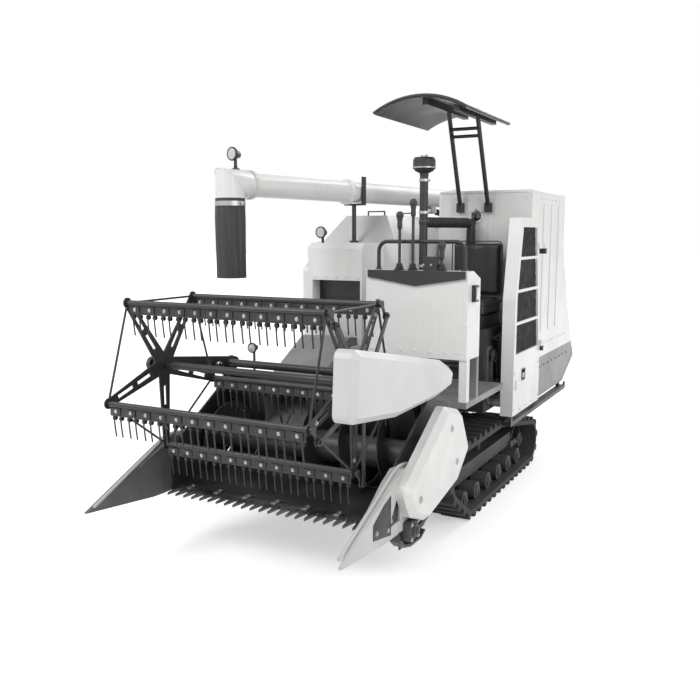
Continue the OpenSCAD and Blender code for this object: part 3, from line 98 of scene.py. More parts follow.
class Effects:
    """Shader node groups that several finishes share."""

    @staticmethod
    def start(name: str, inputs: Sequence[tuple[str, float]], output: str) -> Tree:
        """Makes an empty group with its sockets.

        Args:
            name: The group's name.
            inputs: Names and defaults of its float inputs.
            output: Name of its one float output.

        Returns:
            The new group.
        """
        tree = bpy.data.node_groups.new(name, "ShaderNodeTree")
        for label, value in inputs:
            tree.interface.new_socket(label, in_out="INPUT", socket_type="NodeSocketFloat").default_value = value
        tree.interface.new_socket(output, in_out="OUTPUT", socket_type="NodeSocketFloat")
        tree.nodes.new("NodeGroupInput").name = "In"
        tree.nodes.new("NodeGroupOutput").name = "Out"
        return tree

    @staticmethod
    def maths(tree: Tree, kind: str, *values: object) -> Socket:
        """Adds a Math node.

        Args:
            tree: The tree to add it to.
            kind: The operation.
            values: Sockets or numbers for its inputs, in order.

        Returns:
            Its output socket.
        """
        node = tree.nodes.new("ShaderNodeMath")
        node.operation = kind
        for socket, value in zip(node.inputs, values):
            if isinstance(value, Socket):
                tree.links.new(value, socket)
            else:
                socket.default_value = value
        return node.outputs[0]

    @staticmethod
    def noise(tree: Tree, scale: object, detail: float = 3.0, stretch: Spot = (1, 1, 1)) -> Socket:
        """Adds noise on Object coordinates.

        Args:
            tree: The tree to add it to.
            scale: Noise scale, a number or a socket.
            detail: Noise detail.
            stretch: Scale of the coordinates along each axis.

        Returns:
            The noise's factor socket.
        """
        spot = tree.nodes.new("ShaderNodeTexCoord")
        mapping = tree.nodes.new("ShaderNodeMapping")
        mapping.inputs["Scale"].default_value = stretch
        node = tree.nodes.new("ShaderNodeTexNoise")
        node.inputs["Detail"].default_value = detail
        tree.links.new(spot.outputs["Object"], mapping.inputs["Vector"])
        tree.links.new(mapping.outputs["Vector"], node.inputs["Vector"])
        if isinstance(scale, Socket):
            tree.links.new(scale, node.inputs["Scale"])
        else:
            node.inputs["Scale"].default_value = scale
        return node.outputs["Fac"]

    @staticmethod
    def span(tree: Tree, value: Socket, low: float, high: float) -> Socket:
        """Maps low..high to 0..1, clamped.

        Args:
            tree: The tree to add it to.
            value: The socket to map.
            low: The value that becomes 0.
            high: The value that becomes 1.

        Returns:
            The mapped socket.
        """
        node = tree.nodes.new("ShaderNodeMapRange")
        node.inputs["From Min"].default_value = low
        node.inputs["From Max"].default_value = high
        tree.links.new(value, node.inputs["Value"])
        return node.outputs["Result"]

    @classmethod
    @cache
    def edge_wear(cls) -> Tree:
        """Mask of rubbed corners and edges, broken up by noise.

        Returns:
            The group that gives the mask.
        """
        tree = cls.start("Edge wear", [("Radius", 0.006), ("Amount", 1.0)], "Mask")
        entry, out = tree.nodes["In"], tree.nodes["Out"]
        bevel = tree.nodes.new("ShaderNodeBevel")
        bevel.samples = 4
        tree.links.new(entry.outputs["Radius"], bevel.inputs["Radius"])
        flat = tree.nodes.new("ShaderNodeNewGeometry")
        dot = tree.nodes.new("ShaderNodeVectorMath")
        dot.operation = "DOT_PRODUCT"
        tree.links.new(bevel.outputs["Normal"], dot.inputs[0])
        tree.links.new(flat.outputs["Normal"], dot.inputs[1])
        corner = cls.maths(tree, "SUBTRACT", 1.0, dot.outputs["Value"])
        corner = cls.span(tree, corner, 0.02, 0.25)
        patches = cls.span(tree, cls.noise(tree, 16.0, 5.0), 0.5, 0.66)
        rubbed = cls.maths(tree, "MULTIPLY", corner, patches)
        mask = cls.maths(tree, "MULTIPLY", rubbed, entry.outputs["Amount"])
        tree.links.new(mask, out.inputs["Mask"])
        return tree

    @classmethod
    @cache
    def dust(cls) -> Tree:
        """Mask of field dust: on upward faces and low on the machine.

        Returns:
            The group that gives the mask.
        """
        tree = cls.start("Dust", [("Amount", 0.5), ("Reach", 0.9)], "Mask")
        entry, out = tree.nodes["In"], tree.nodes["Out"]
        spot = tree.nodes.new("ShaderNodeTexCoord")
        split = tree.nodes.new("ShaderNodeSeparateXYZ")
        tree.links.new(spot.outputs["Object"], split.inputs["Vector"])
        low = cls.maths(tree, "DIVIDE", split.outputs["Z"], entry.outputs["Reach"])
        low = cls.maths(tree, "SUBTRACT", 1.0, low)
        low = cls.maths(tree, "MAXIMUM", low, 0.0)
        shape = tree.nodes.new("ShaderNodeNewGeometry")
        lean = tree.nodes.new("ShaderNodeSeparateXYZ")
        tree.links.new(shape.outputs["Normal"], lean.inputs["Vector"])
        top = cls.span(tree, lean.outputs["Z"], 0.3, 1.0)
        top = cls.maths(tree, "MULTIPLY", top, 0.45)
        both = cls.maths(tree, "ADD", low, top)
        clouds = cls.span(tree, cls.noise(tree, 7.0, 6.0), 0.36, 0.7)
        dusty = cls.maths(tree, "MULTIPLY", both, clouds)
        mask = cls.maths(tree, "MULTIPLY", dusty, entry.outputs["Amount"])
        tree.links.new(cls.maths(tree, "MINIMUM", mask, 0.85), out.inputs["Mask"])
        return tree

    @classmethod
    @cache
    def streaks(cls) -> Tree:
        """Mask of faint rain marks that run down a panel.

        Returns:
            The group that gives the mask.
        """
        tree = cls.start("Streaks", [("Amount", 0.3)], "Mask")
        entry, out = tree.nodes["In"], tree.nodes["Out"]
        lines = cls.span(tree, cls.noise(tree, 1.0, 4.0, (42.0, 42.0, 1.3)), 0.5, 0.78)
        cloud = cls.span(tree, cls.noise(tree, 2.3, 2.0), 0.35, 0.65)
        mask = cls.maths(tree, "MULTIPLY", cls.maths(tree, "MULTIPLY", lines, cloud), entry.outputs["Amount"])
        tree.links.new(mask, out.inputs["Mask"])
        return tree

    @classmethod
    @cache
    def grain(cls) -> Tree:
        """Height of a fine skin: orange peel in paint, sand grain in castings.

        Returns:
            The group that gives the height.
        """
        tree = cls.start("Grain", [("Scale", 400.0), ("Coarse", 60.0)], "Height")
        entry, out = tree.nodes["In"], tree.nodes["Out"]
        fine = cls.noise(tree, entry.outputs["Scale"], 2.0)
        broad = cls.noise(tree, entry.outputs["Coarse"], 2.0)
        tree.links.new(cls.maths(tree, "ADD", fine, cls.maths(tree, "MULTIPLY", broad, 0.6)), out.inputs["Height"])
        return tree


@dataclass(frozen=True)
class Finish:
    """One surface finish, with the wear and dirt that lie over it."""

    name: str
    slot: Slot | None
    colour: Colour
    shade: Colour
    rough: Pair = (0.35, 0.5)
    metallic: float = 0.0
    coat: float = 0.0
    wear: float = 0.0
    wear_colour: Colour = (0.42, 0.42, 0.42)
    wear_radius: float = 0.006
    dust: float = 0.0
    dust_colour: Colour = (0.52, 0.5, 0.46)
    dust_reach: float = 0.9
    streak: float = 0.0
    grain: Pair = (500.0, 70.0)
    bump: float = 0.04
    depth: float = 0.001

    def group(self, tree: Tree, effect: Tree, **values: float) -> Socket:
        """Places a shared effect.

        Args:
            tree: The material's tree.
            effect: The node group.
            values: Its inputs by name.

        Returns:
            Its output socket.
        """
        node = tree.nodes.new("ShaderNodeGroup")
        node.node_tree = effect
        for label, value in values.items():
            node.inputs[label].default_value = value
        return node.outputs[0]

    def mix(self, tree: Tree, mask: Socket, below: object, above: Colour) -> Socket:
        """Lays a colour over another through a mask.

        Args:
            tree: The material's tree.
            mask: How much of the upper colour shows.
            below: The lower colour, or its socket.
            above: The upper colour.

        Returns:
            The mixed colour's socket.
        """
        node = tree.nodes.new("ShaderNodeMix")
        node.data_type = "RGBA"
        tree.links.new(mask, node.inputs[0])
        if isinstance(below, Socket):
            tree.links.new(below, node.inputs[6])
        else:
            node.inputs[6].default_value = (*below, 1)
        node.inputs[7].default_value = (*above, 1)
        return node.outputs[2]

    def material(self) -> bpy.types.Material:
        """Builds the material once.

        Returns:
            The material.
        """
        if self.name in bpy.data.materials:
            return bpy.data.materials[self.name]
        made = bpy.data.materials.new(self.name)
        made.use_nodes = True
        tree = made.node_tree
        shader = tree.nodes["Principled BSDF"]
        clouds = Effects.span(tree, Effects.noise(tree, 3.0, 5.0), 0.3, 0.7)
        colour = self.mix(tree, clouds, self.colour, self.shade)
        rough = tree.nodes.new("ShaderNodeMapRange")
        rough.inputs["To Min"].default_value, rough.inputs["To Max"].default_value = self.rough
        tree.links.new(clouds, rough.inputs["Value"])
        rough_out = rough.outputs["Result"]
        if self.streak:
            colour = self.mix(tree, self.group(tree, Effects.streaks(), Amount=self.streak), colour, self.dust_colour)
        if self.wear:
            mask = self.group(tree, Effects.edge_wear(), Radius=self.wear_radius, Amount=self.wear)
            colour = self.mix(tree, mask, colour, self.wear_colour)
        if self.dust:
            mask = self.group(tree, Effects.dust(), Amount=self.dust, Reach=self.dust_reach)
            colour = self.mix(tree, mask, colour, self.dust_colour)
            rough_out = Effects.maths(tree, "ADD", rough_out, Effects.maths(tree, "MULTIPLY", mask, 0.4))
        tree.links.new(colour, shader.inputs["Base Color"])
        tree.links.new(rough_out, shader.inputs["Roughness"])
        shader.inputs["Metallic"].default_value = self.metallic
        shader.inputs["Coat Weight"].default_value = self.coat
        skin = tree.nodes.new("ShaderNodeBump")
        skin.inputs["Strength"].default_value = self.bump
        skin.inputs["Distance"].default_value = self.depth
        fine, coarse = self.grain
        tree.links.new(self.group(tree, Effects.grain(), Scale=fine, Coarse=coarse), skin.inputs["Height"])
        tree.links.new(skin.outputs["Normal"], shader.inputs["Normal"])
        return made

    def dress(self, piece: Piece) -> None:
        """Puts the finish on a piece as its only material."""
        piece.data.materials.clear()
        piece.data.materials.append(self.material())


WHITE = Finish("White enamel", Slot.WHITE, (0.8, 0.8, 0.79), (0.74, 0.74, 0.73), (0.28, 0.42), coat=0.15, wear=0.5,
               wear_colour=(0.3, 0.3, 0.3), wear_radius=0.005, dust=0.5, dust_reach=1.0, streak=0.35)
PALE = Finish("Pale grey enamel", Slot.WHITE, (0.56, 0.56, 0.56), (0.5, 0.5, 0.5), (0.32, 0.46), wear=0.5,
              wear_colour=(0.2, 0.2, 0.2), dust=0.5, streak=0.3)
# Light grey enamel: the oil filter's own paint, and painted shade where it greys the white reel cover.
LIGHT_GREY_AND_SHADE = Finish("Light grey enamel and painted shade", Slot.WHITE, (0.64, 0.64, 0.64), (0.58, 0.58, 0.58), (0.3, 0.44), coat=0.1, wear=0.5,
               wear_colour=(0.25, 0.25, 0.25), dust=0.5, streak=0.3)
GREY = Finish("Mid grey enamel", Slot.GREY, (0.22, 0.22, 0.22), (0.17, 0.17, 0.17), (0.34, 0.5), wear=0.6, dust=0.55,
              streak=0.25)
# Slate enamel: the timing cover's own dark paint, and painted shade where it darkens the left crop divider.
SLATE_AND_SHADE = Finish("Slate enamel and painted shade", Slot.GREY, (0.1, 0.1, 0.1), (0.075, 0.075, 0.075), (0.34, 0.5), wear=0.6, dust=0.4,
               dust_colour=(0.2, 0.195, 0.185), streak=0.25)
DARK = Finish("Dark enamel", Slot.DARK, (0.02, 0.02, 0.021), (0.013, 0.013, 0.014), (0.34, 0.5), wear=0.65,
              wear_colour=(0.24, 0.24, 0.24), wear_radius=0.004, dust=0.2, dust_colour=(0.12, 0.117, 0.11))
CASTING = Finish("Painted casting", Slot.DARK, (0.042, 0.043, 0.045), (0.03, 0.03, 0.031), (0.5, 0.66), wear=0.6,
                 dust=0.28, dust_colour=(0.18, 0.175, 0.165), grain=(260.0, 50.0), bump=0.35, depth=0.002)
TRACK = Finish("Track rubber", Slot.RUBBER, (0.022, 0.022, 0.022), (0.032, 0.032, 0.031), (0.7, 0.85), wear=0.45,
               wear_colour=(0.07, 0.07, 0.068), wear_radius=0.008, dust=0.28, dust_colour=(0.12, 0.115, 0.105),
               dust_reach=0.45, grain=(220.0, 30.0), bump=0.3, depth=0.002)
CHUTE = Finish("Chute rubber", Slot.RUBBER, (0.024, 0.024, 0.024), (0.032, 0.032, 0.032), (0.55, 0.7), dust=0.15,
               streak=0.2, grain=(180.0, 26.0), bump=0.3, depth=0.002)
PLASTIC = Finish("Grained plastic", Slot.PLASTIC, (0.02, 0.02, 0.021), (0.028, 0.028, 0.028), (0.45, 0.58), dust=0.25,
                 dust_colour=(0.3, 0.29, 0.27), grain=(900.0, 320.0), bump=0.25)
VINYL = Finish("Padded vinyl", Slot.SEAT, (0.022, 0.022, 0.023), (0.032, 0.032, 0.033), (0.4, 0.52), dust=0.2,
               dust_colour=(0.3, 0.29, 0.27), grain=(650.0, 190.0), bump=0.4, depth=0.0015)
CHROME = Finish("Ground rod", Slot.BRIGHT, (0.62, 0.62, 0.63), (0.55, 0.55, 0.56), (0.1, 0.2), metallic=1.0, dust=0.1,
                bump=0.02)
STEEL = Finish("Plated steel", Slot.BRIGHT, (0.45, 0.45, 0.45), (0.34, 0.34, 0.34), (0.3, 0.45), metallic=1.0,
               dust=0.25, bump=0.05)
BLADE = Finish("Knife steel", Slot.BRIGHT, (0.14, 0.14, 0.145), (0.08, 0.08, 0.08), (0.3, 0.5), metallic=1.0, wear=0.5,
               wear_colour=(0.6, 0.6, 0.6), dust=0.3)
SPRING = Finish("Tine wire", Slot.DARK, (0.03, 0.03, 0.032), (0.05, 0.05, 0.05), (0.35, 0.5), metallic=0.4, wear=0.3,
                dust=0.2, dust_colour=(0.3, 0.29, 0.27))
LENS = Finish("Lamp lens", None, (0.62, 0.63, 0.65), (0.48, 0.49, 0.5), (0.06, 0.14), coat=0.6, dust=0.15,
              grain=(180.0, 60.0), bump=0.3, depth=0.002)
GLASS = Finish("Smoked glass", None, (0.016, 0.017, 0.018), (0.022, 0.022, 0.023), (0.04, 0.1), coat=1.0, dust=0.12,
               bump=0.01)
GAUZE = Finish("Woven gauze", Slot.DARK, (0.03, 0.03, 0.031), (0.045, 0.045, 0.044), (0.6, 0.75), dust=0.3,
               dust_colour=(0.2, 0.19, 0.18), grain=(520.0, 260.0), bump=0.7, depth=0.002)


class Bench:
    """Modelling steps, each made with the editor's own operators."""

    @staticmethod
    def clear() -> None:
        """Leaves edit mode and deselects everything."""
        if bpy.context.mode != "OBJECT":
            bpy.ops.object.mode_set(mode="OBJECT")
        bpy.ops.object.select_all(action="DESELECT")

    @staticmethod
    def only(piece: Piece) -> None:
        """Selects one piece and makes it active."""
        Bench.clear()
        piece.select_set(True)
        bpy.context.view_layer.objects.active = piece

    @staticmethod
    def settle(piece: Piece, place: Matrix | None = None) -> Piece:
        """Puts a piece in its place and applies that to its mesh.

        Args:
            piece: The piece.
            place: Where it goes, or None to keep where it is.

        Returns:
            The piece, at the origin.
        """
        Bench.only(piece)
        if place is not None:
            piece.matrix_world = place @ piece.matrix_world
        bpy.ops.object.transform_apply(location=True, rotation=True, scale=True)
        return piece

    @staticmethod
    def edit(piece: Piece) -> None:
        """Opens a piece in edit mode with all of it selected."""
        Bench.only(piece)
        bpy.ops.object.mode_set(mode="EDIT")
        bpy.ops.mesh.select_all(action="SELECT")

    @staticmethod
    def named(name: str) -> Piece:
        """Gives the active object a name and returns it."""
        piece = bpy.context.view_layer.objects.active
        piece.name = piece.data.name = name
        return piece

    @staticmethod
    def block(name: str, low: Spot, high: Spot, bevel: float = 0.0, segments: int = 2) -> Piece:
        """A box with its edges broken.

        Args:
            name: The piece's name.
            low: Its lowest corner.
            high: Its highest corner.
            bevel: Width of the broken edges.
            segments: Steps in each broken edge.

        Returns:
            The piece.
        """
        Bench.clear()
        middle = [(a + b) / 2 for a, b in zip(low, high)]
        bpy.ops.mesh.primitive_cube_add(size=1, location=middle)
        piece = Bench.named(name)
        piece.scale = [b - a for a, b in zip(low, high)]
        Bench.settle(piece)
        if bevel:
            Bench.edit(piece)
            bpy.ops.mesh.bevel(offset=bevel, segments=segments, affect="EDGES")
            bpy.ops.object.mode_set(mode="OBJECT")
        return piece

    @staticmethod
    def turned(name: str, rings: Sequence[Pair], sides: int = 24) -> Piece:
        """A turned piece along +Z, drawn up ring by ring from its foot.

        Args:
            name: The piece's name.
            rings: Height and radius of each ring, from the foot up.
            sides: Sides of the round.

        Returns:
            The piece, closed at both ends.
        """
        Bench.clear()
        height, radius = rings[0]
        bpy.ops.mesh.primitive_circle_add(vertices=sides, radius=radius, fill_type="NGON", location=(0, 0, height))
        piece = Bench.settle(Bench.named(name))
        Bench.edit(piece)
        for next_height, next_radius in rings[1:]:
            bpy.ops.mesh.extrude_region_move(TRANSFORM_OT_translate={"value": (0, 0, next_height - height)})
            grow = next_radius / radius
            bpy.ops.transform.resize(value=(grow, grow, 1), center_override=(0, 0, next_height))
            height, radius = next_height, next_radius
        bpy.ops.mesh.select_all(action="SELECT")
        bpy.ops.mesh.normals_make_consistent(inside=False)
        bpy.ops.object.mode_set(mode="OBJECT")
        return piece

    @staticmethod
    def tube(name: str, points: Sequence[Spot], radius: float, sides: int = 8, closed: bool = False,
             smooth: bool = True) -> Piece:
        """A round wire, pipe or seam along points.

        Args:
            name: The piece's name.
            points: The points that it follows.
            radius: Its radius.
            sides: Sides of the round.
            closed: Whether it is a loop.
            smooth: Whether it curves through the points.

        Returns:
            The piece as a mesh.
        """
        Bench.clear()
        line = bpy.data.curves.new(name, "CURVE")
        line.dimensions = "3D"
        line.bevel_depth = radius
        line.bevel_resolution = max(0, sides // 2 - 2)
        line.use_fill_caps = not closed
        line.resolution_u = 4
        spline = line.splines.new("BEZIER" if smooth else "POLY")
        knots = spline.bezier_points if smooth else spline.points
        knots.add(len(points) - 1)
        for knot, point in zip(knots, points):
            if smooth:
                knot.co = point
                knot.handle_left_type = knot.handle_right_type = "AUTO"
            else:
                knot.co = (*point, 1)
        spline.use_cyclic_u = closed
        piece = bpy.data.objects.new(name, line)
        bpy.context.scene.collection.objects.link(piece)
        Bench.only(piece)
        bpy.ops.object.convert(target="MESH")
        return Bench.named(name)

    @staticmethod
    def plate(name: str, outline: Sequence[Spot], thick: Spot, bevel: float = 0.0) -> Piece:
        """A flat plate with any outline.

        Args:
            name: The piece's name.
            outline: Its corners, in order round one face.
            thick: The move from that face to the other.
            bevel: Width of its broken edges.

        Returns:
            The piece.
        """
        Bench.clear()
        bpy.ops.mesh.primitive_circle_add(vertices=len(outline), radius=1, fill_type="NGON")
        piece = Bench.named(name)
        for vertex, corner in zip(piece.data.vertices, outline):
            vertex.co = corner
        Bench.edit(piece)
        bpy.ops.mesh.extrude_region_move(TRANSFORM_OT_translate={"value": tuple(thick)})
        bpy.ops.mesh.select_all(action="SELECT")
        bpy.ops.mesh.normals_make_consistent(inside=False)
        if bevel:
            bpy.ops.mesh.bevel(offset=bevel, segments=2, affect="EDGES")
        bpy.ops.object.mode_set(mode="OBJECT")
        return piece

    @staticmethod
    def join(name: str, parts: Sequence[Piece]) -> Piece:
        """Joins pieces into one.

        Args:
            name: The joined piece's name.
            parts: The pieces.

        Returns:
            The joined piece.
        """
        Bench.only(parts[0])
        for part in parts:
            part.select_set(True)
        if len(parts) > 1:
            bpy.ops.object.join()
        return Bench.named(name)

    @staticmethod
    def copies(name: str, model: Piece, places: Iterable[Matrix]) -> Piece:
        """Copies one model to many places as a single piece, and removes the model.

        Args:
            name: The piece's name.
            model: What is repeated.
            places: Where each copy goes.

        Returns:
            The piece.
        """
        made = []
        for place in places:
            twin = model.copy()
            twin.data = model.data.copy()
            twin.data.transform(place)
            bpy.context.scene.collection.objects.link(twin)
            made.append(twin)
        bpy.data.objects.remove(model)
        return Bench.join(name, made)

    @staticmethod
    def bored(piece: Piece, sides: int) -> Piece:
        """Opens a turned piece whose last ring comes back to its first, so that a hole runs through it.

        Args:
            piece: The turned piece.
            sides: Sides of its round.

        Returns:
            The piece with its hole.
        """
        Bench.only(piece)
        bpy.ops.object.mode_set(mode="EDIT")
        bpy.ops.mesh.select_mode(type="FACE")
        bpy.ops.mesh.select_face_by_sides(number=sides, type="EQUAL", extend=False)
        bpy.ops.mesh.delete(type="FACE")
        bpy.ops.mesh.select_mode(type="VERT")
        bpy.ops.mesh.select_all(action="SELECT")
        bpy.ops.mesh.remove_doubles(threshold=0.00001)
        bpy.ops.mesh.normals_make_consistent(inside=False)
        bpy.ops.object.mode_set(mode="OBJECT")
        return piece

    @staticmethod
    def outward(piece: Piece) -> None:
        """Turns a piece's faces outwards.

        Args:
            piece: The piece.
        """
        Bench.edit(piece)
        bpy.ops.mesh.normals_make_consistent(inside=False)
        bpy.ops.object.mode_set(mode="OBJECT")

    @staticmethod
    def ring(name: str, radius: float, wire: float, sides: int, wire_sides: int = 6) -> Piece:
        """A round wire ring about +Z.

        Args:
            name: The piece's name.
            radius: Its radius.
            wire: Radius of the wire.
            sides: Sides of the ring.
            wire_sides: Sides of the wire.

        Returns:
            The piece.
        """
        Bench.clear()
        bpy.ops.mesh.primitive_torus_add(major_radius=radius, minor_radius=wire, major_segments=sides,
                                         minor_segments=wire_sides)
        return Bench.settle(Bench.named(name))

    @staticmethod
    def band(name: str, radius: float, thick: float, half: float, sides: int) -> Piece:
        """A flat clamp band about +Z, from its inner radius, thickness, half width and sides."""
        return Bench.turned(name, [(-half, radius), (-half, radius + thick), (half, radius + thick), (half, radius)],
                            sides)

    @staticmethod
    def press(piece: Piece, face: Face, area: float, steps: Sequence[Pair]) -> None:
        """Presses borders and steps into the large faces that look one way.

        Args:
            piece: The piece.
            face: The way that the faces look.
            area: Faces smaller than this are left alone.
            steps: Width and depth of each inset.
        """
        Bench.edit(piece)
        bpy.ops.mesh.select_all(action="DESELECT")
        mesh = bmesh.from_edit_mesh(piece.data)
        for polygon in mesh.faces:
            polygon.select = polygon.normal.dot(Vector(face.value)) > 0.9 and polygon.calc_area() > area
        mesh.select_flush(True)
        bmesh.update_edit_mesh(piece.data)
        for width, depth in steps:
            bpy.ops.mesh.inset(thickness=width, depth=depth)
        bpy.ops.object.mode_set(mode="OBJECT")

    @staticmethod
    def smooth(piece: Piece, angle: float = 35.0) -> None:
        """Smooths a piece's shading below an edge angle in degrees."""
        Bench.only(piece)
        bpy.ops.object.shade_smooth_by_angle(angle=radians(angle))

    @staticmethod
    def at(spot: Spot, face: Face = Face.UP, spin: float = 0.0) -> Matrix:
        """Place of a piece that stands at a spot, points along a face and is turned about its own axis, in degrees."""
        return move(spot) @ face.turn() @ Matrix.Rotation(radians(spin), 4, "Z")

    @staticmethod
    def onto(node: str, starts: Iterable[Spot], way: Face) -> list[Matrix]:
        """Places on a solid's surface, each where a line from a start meets it.

        Args:
            node: The solid's name.
            starts: Where the lines start.
            way: The way that they go.

        Returns:
            The places, with +Z out of the surface, leaving out lines that miss.
        """
        made = []
        for start in starts:
            hit, spot, normal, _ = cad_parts[node].ray_cast(Vector(start), Vector(way.value))
            if hit:
                made.append(move(spot) @ normal.to_track_quat("Z", "Y").to_matrix().to_4x4())
        return made

    @staticmethod
    def meet(node: str, start: Spot, way: Face) -> Matrix:
        """Place on a solid's surface where one line from a start meets it."""
        return Bench.onto(node, [start], way)[0]


@dataclass
class SubAssembly:
    """What every sub-assembly shares: the body that it rides on and how a piece is fitted to it."""

    body: str

    def fit(self, piece: Piece, finish: Finish, body: str | None = None, smooth: float = 35.0,
            slot: Slot | None = None) -> Piece:
        """Finishes a piece and hangs it on its body.

        Args:
            piece: The piece.
            finish: Its finish.
            body: The body, or None for the sub-assembly's own.
            smooth: Edge angle for smooth shading, in degrees.
            slot: Not used.

        Returns:
            The piece.
        """
        Bench.smooth(piece, smooth)
        finish.dress(piece)
        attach(piece, body or self.body)
        slot = slot or finish.slot
        LOG.info("%s on %s: %d faces", piece.name, body or self.body, len(piece.data.polygons))
        return piece

    def many(self, name: str, model: Piece, places: Iterable[Matrix], finish: Finish, body: str | None = None,
             smooth: float = 35.0) -> Piece:
        """Copies one model to many places and fits what that makes as a single piece."""
        return self.fit(Bench.copies(name, model, places), finish, body, smooth)

    def bolts(self, name: str, places: Sequence[Matrix], size: float = 0.012, body: str | None = None,
              finish: Finish = STEEL) -> Piece:
        """Hexagon bolts with washers.

        Args:
            name: The piece's name.
            places: Where each bolt's washer lies, with +Z out of the face.
            size: Radius of a head.
            body: The body that they ride on.
            finish: Their finish.

        Returns:
            The piece.
        """
        head = Bench.turned("bolt_head", [(h * size, r * size) for h, r in BOLT_HEAD], 6)
        washer = Bench.turned("bolt_washer", [(h * size, r * size) for h, r in BOLT_WASHER], 14)
        model = Bench.join("bolt", [washer, head])
        return self.many(name, model, places, finish, body, 20.0)

    def painted(self, name: str, node: str, way: Face, size: float, starts: Iterable[Spot]) -> None:
        """Bolts painted over with the white panel that they hold, each where a line from a start meets that solid."""
        self.bolts(name, Bench.onto(node, starts, way), size, finish=WHITE)


@dataclass
class Studio:
    """Camera, floor and soft light."""

    eye: Spot = (2.378, -5.212, 1.84)
    azimuth: float = 27.86
    elevation: float = 8.23
    lens: float = 40.886
    sensor: float = 36.0
    floor_half: float = 60.0
    floor_tone: float = 0.9
    floor_rough: float = 0.95
    glow: tuple[float, float, float, float] = (3.0, 14.0, 0.46, 1.0)
    surround: float = 0.45
    lamps: tuple[tuple[str, Spot, Spot, float, float], ...] = (
        ("key_light", (-4.5, -7.5, 8.0), (0, -0.4, 0.8), 5.0, 560.0),
        ("fill_light", (8.0, -4.0, 5.0), (0, 0.2, 0.9), 6.0, 330.0),
        ("back_light", (2.0, 8.5, 7.0), (0, 0.5, 1.2), 5.0, 330.0),
    )

    def build(self) -> None:
        """Makes the camera, the floor, the world and the lamps."""
        self.camera()
        self.floor()
        self.world()
        for lamp in self.lamps:
            self.lamp(*lamp)

    def camera(self) -> None:
        """Sets the camera at the picture's angle."""
        data = bpy.data.cameras.new("camera")
        data.lens = self.lens
        data.sensor_width = self.sensor
        cam = bpy.data.objects.new("camera", data)
        bpy.context.scene.collection.objects.link(cam)
        a, e = radians(self.azimuth), radians(self.elevation)
        ahead = Vector((-sin(a) * cos(e), cos(a) * cos(e), -sin(e)))
        cam.location = self.eye
        cam.rotation_mode = "QUATERNION"
        cam.rotation_quaternion = ahead.to_track_quat("-Z", "Y")
        bpy.context.scene.camera = cam

    def seen(self, tree: Tree) -> Socket:
        """Tells the rays that show a surface from those that only light it.

        Args:
            tree: The tree to add it to.

        Returns:
            A socket that is 1 for camera, mirror and glass rays.
        """
        light = tree.nodes.new("ShaderNodeLightPath")
        seen = Effects.maths(tree, "MAXIMUM", light.outputs["Is Camera Ray"], light.outputs["Is Glossy Ray"])
        return Effects.maths(tree, "MAXIMUM", seen, light.outputs["Is Transmission Ray"])

    def floor(self) -> None:
        """Lays a pale floor that keeps the machine's shadow."""
        Bench.clear()
        bpy.ops.mesh.primitive_plane_add(size=2 * self.floor_half)
        plane = Bench.named("floor")
        made = bpy.data.materials.new("Pale floor")
        made.use_nodes = True
        tree = made.node_tree
        shader = tree.nodes["Principled BSDF"]
        shader.inputs["Base Color"].default_value = (*(self.floor_tone,) * 3, 1)
        shader.inputs["Roughness"].default_value = self.floor_rough
        shader.inputs["Specular IOR Level"].default_value = 0.0
        shader.inputs["Emission Color"].default_value = (1, 1, 1, 1)
        seen = self.seen(tree)
        away = tree.nodes.new("ShaderNodeVectorMath")
        away.operation = "LENGTH"
        tree.links.new(tree.nodes.new("ShaderNodeTexCoord").outputs["Object"], away.inputs[0])
        glow = tree.nodes.new("ShaderNodeMapRange")
        for label, value in zip(("From Min", "From Max", "To Min", "To Max"), self.glow):
            glow.inputs[label].default_value = value
        tree.links.new(away.outputs["Value"], glow.inputs["Value"])
        tree.links.new(Effects.maths(tree, "MULTIPLY", seen, glow.outputs["Result"]),
                       shader.inputs["Emission Strength"])
        plane.data.materials.append(made)

    def world(self) -> None:
        """Makes a white surround that lights the machine softly."""
        world = bpy.context.scene.world or bpy.data.worlds.new("surround")
        bpy.context.scene.world = world
        world.use_nodes = True
        tree = world.node_tree
        back = tree.nodes["Background"]
        back.inputs["Color"].default_value = (1, 1, 1, 1)
        seen = self.seen(tree)
        power = Effects.maths(tree, "ADD", Effects.maths(tree, "MULTIPLY", seen, 1 - self.surround), self.surround)
        tree.links.new(power, back.inputs["Strength"])
        bpy.context.scene.view_settings.view_transform = "Standard"

    def lamp(self, name: str, spot: Spot, aim: Spot, size: float, watts: float) -> None:
        """Hangs a soft square lamp.

        Args:
            name: The lamp's name.
            spot: Where it hangs.
            aim: What it points at.
            size: Its side.
            watts: Its power.
        """
        data = bpy.data.lights.new(name, "AREA")
        data.size = size
        data.energy = watts
        lamp = bpy.data.objects.new(name, data)
        bpy.context.scene.collection.objects.link(lamp)
        lamp.location = spot
        lamp.rotation_mode = "QUATERNION"
        lamp.rotation_quaternion = (Vector(aim) - Vector(spot)).to_track_quat("-Z", "Y")


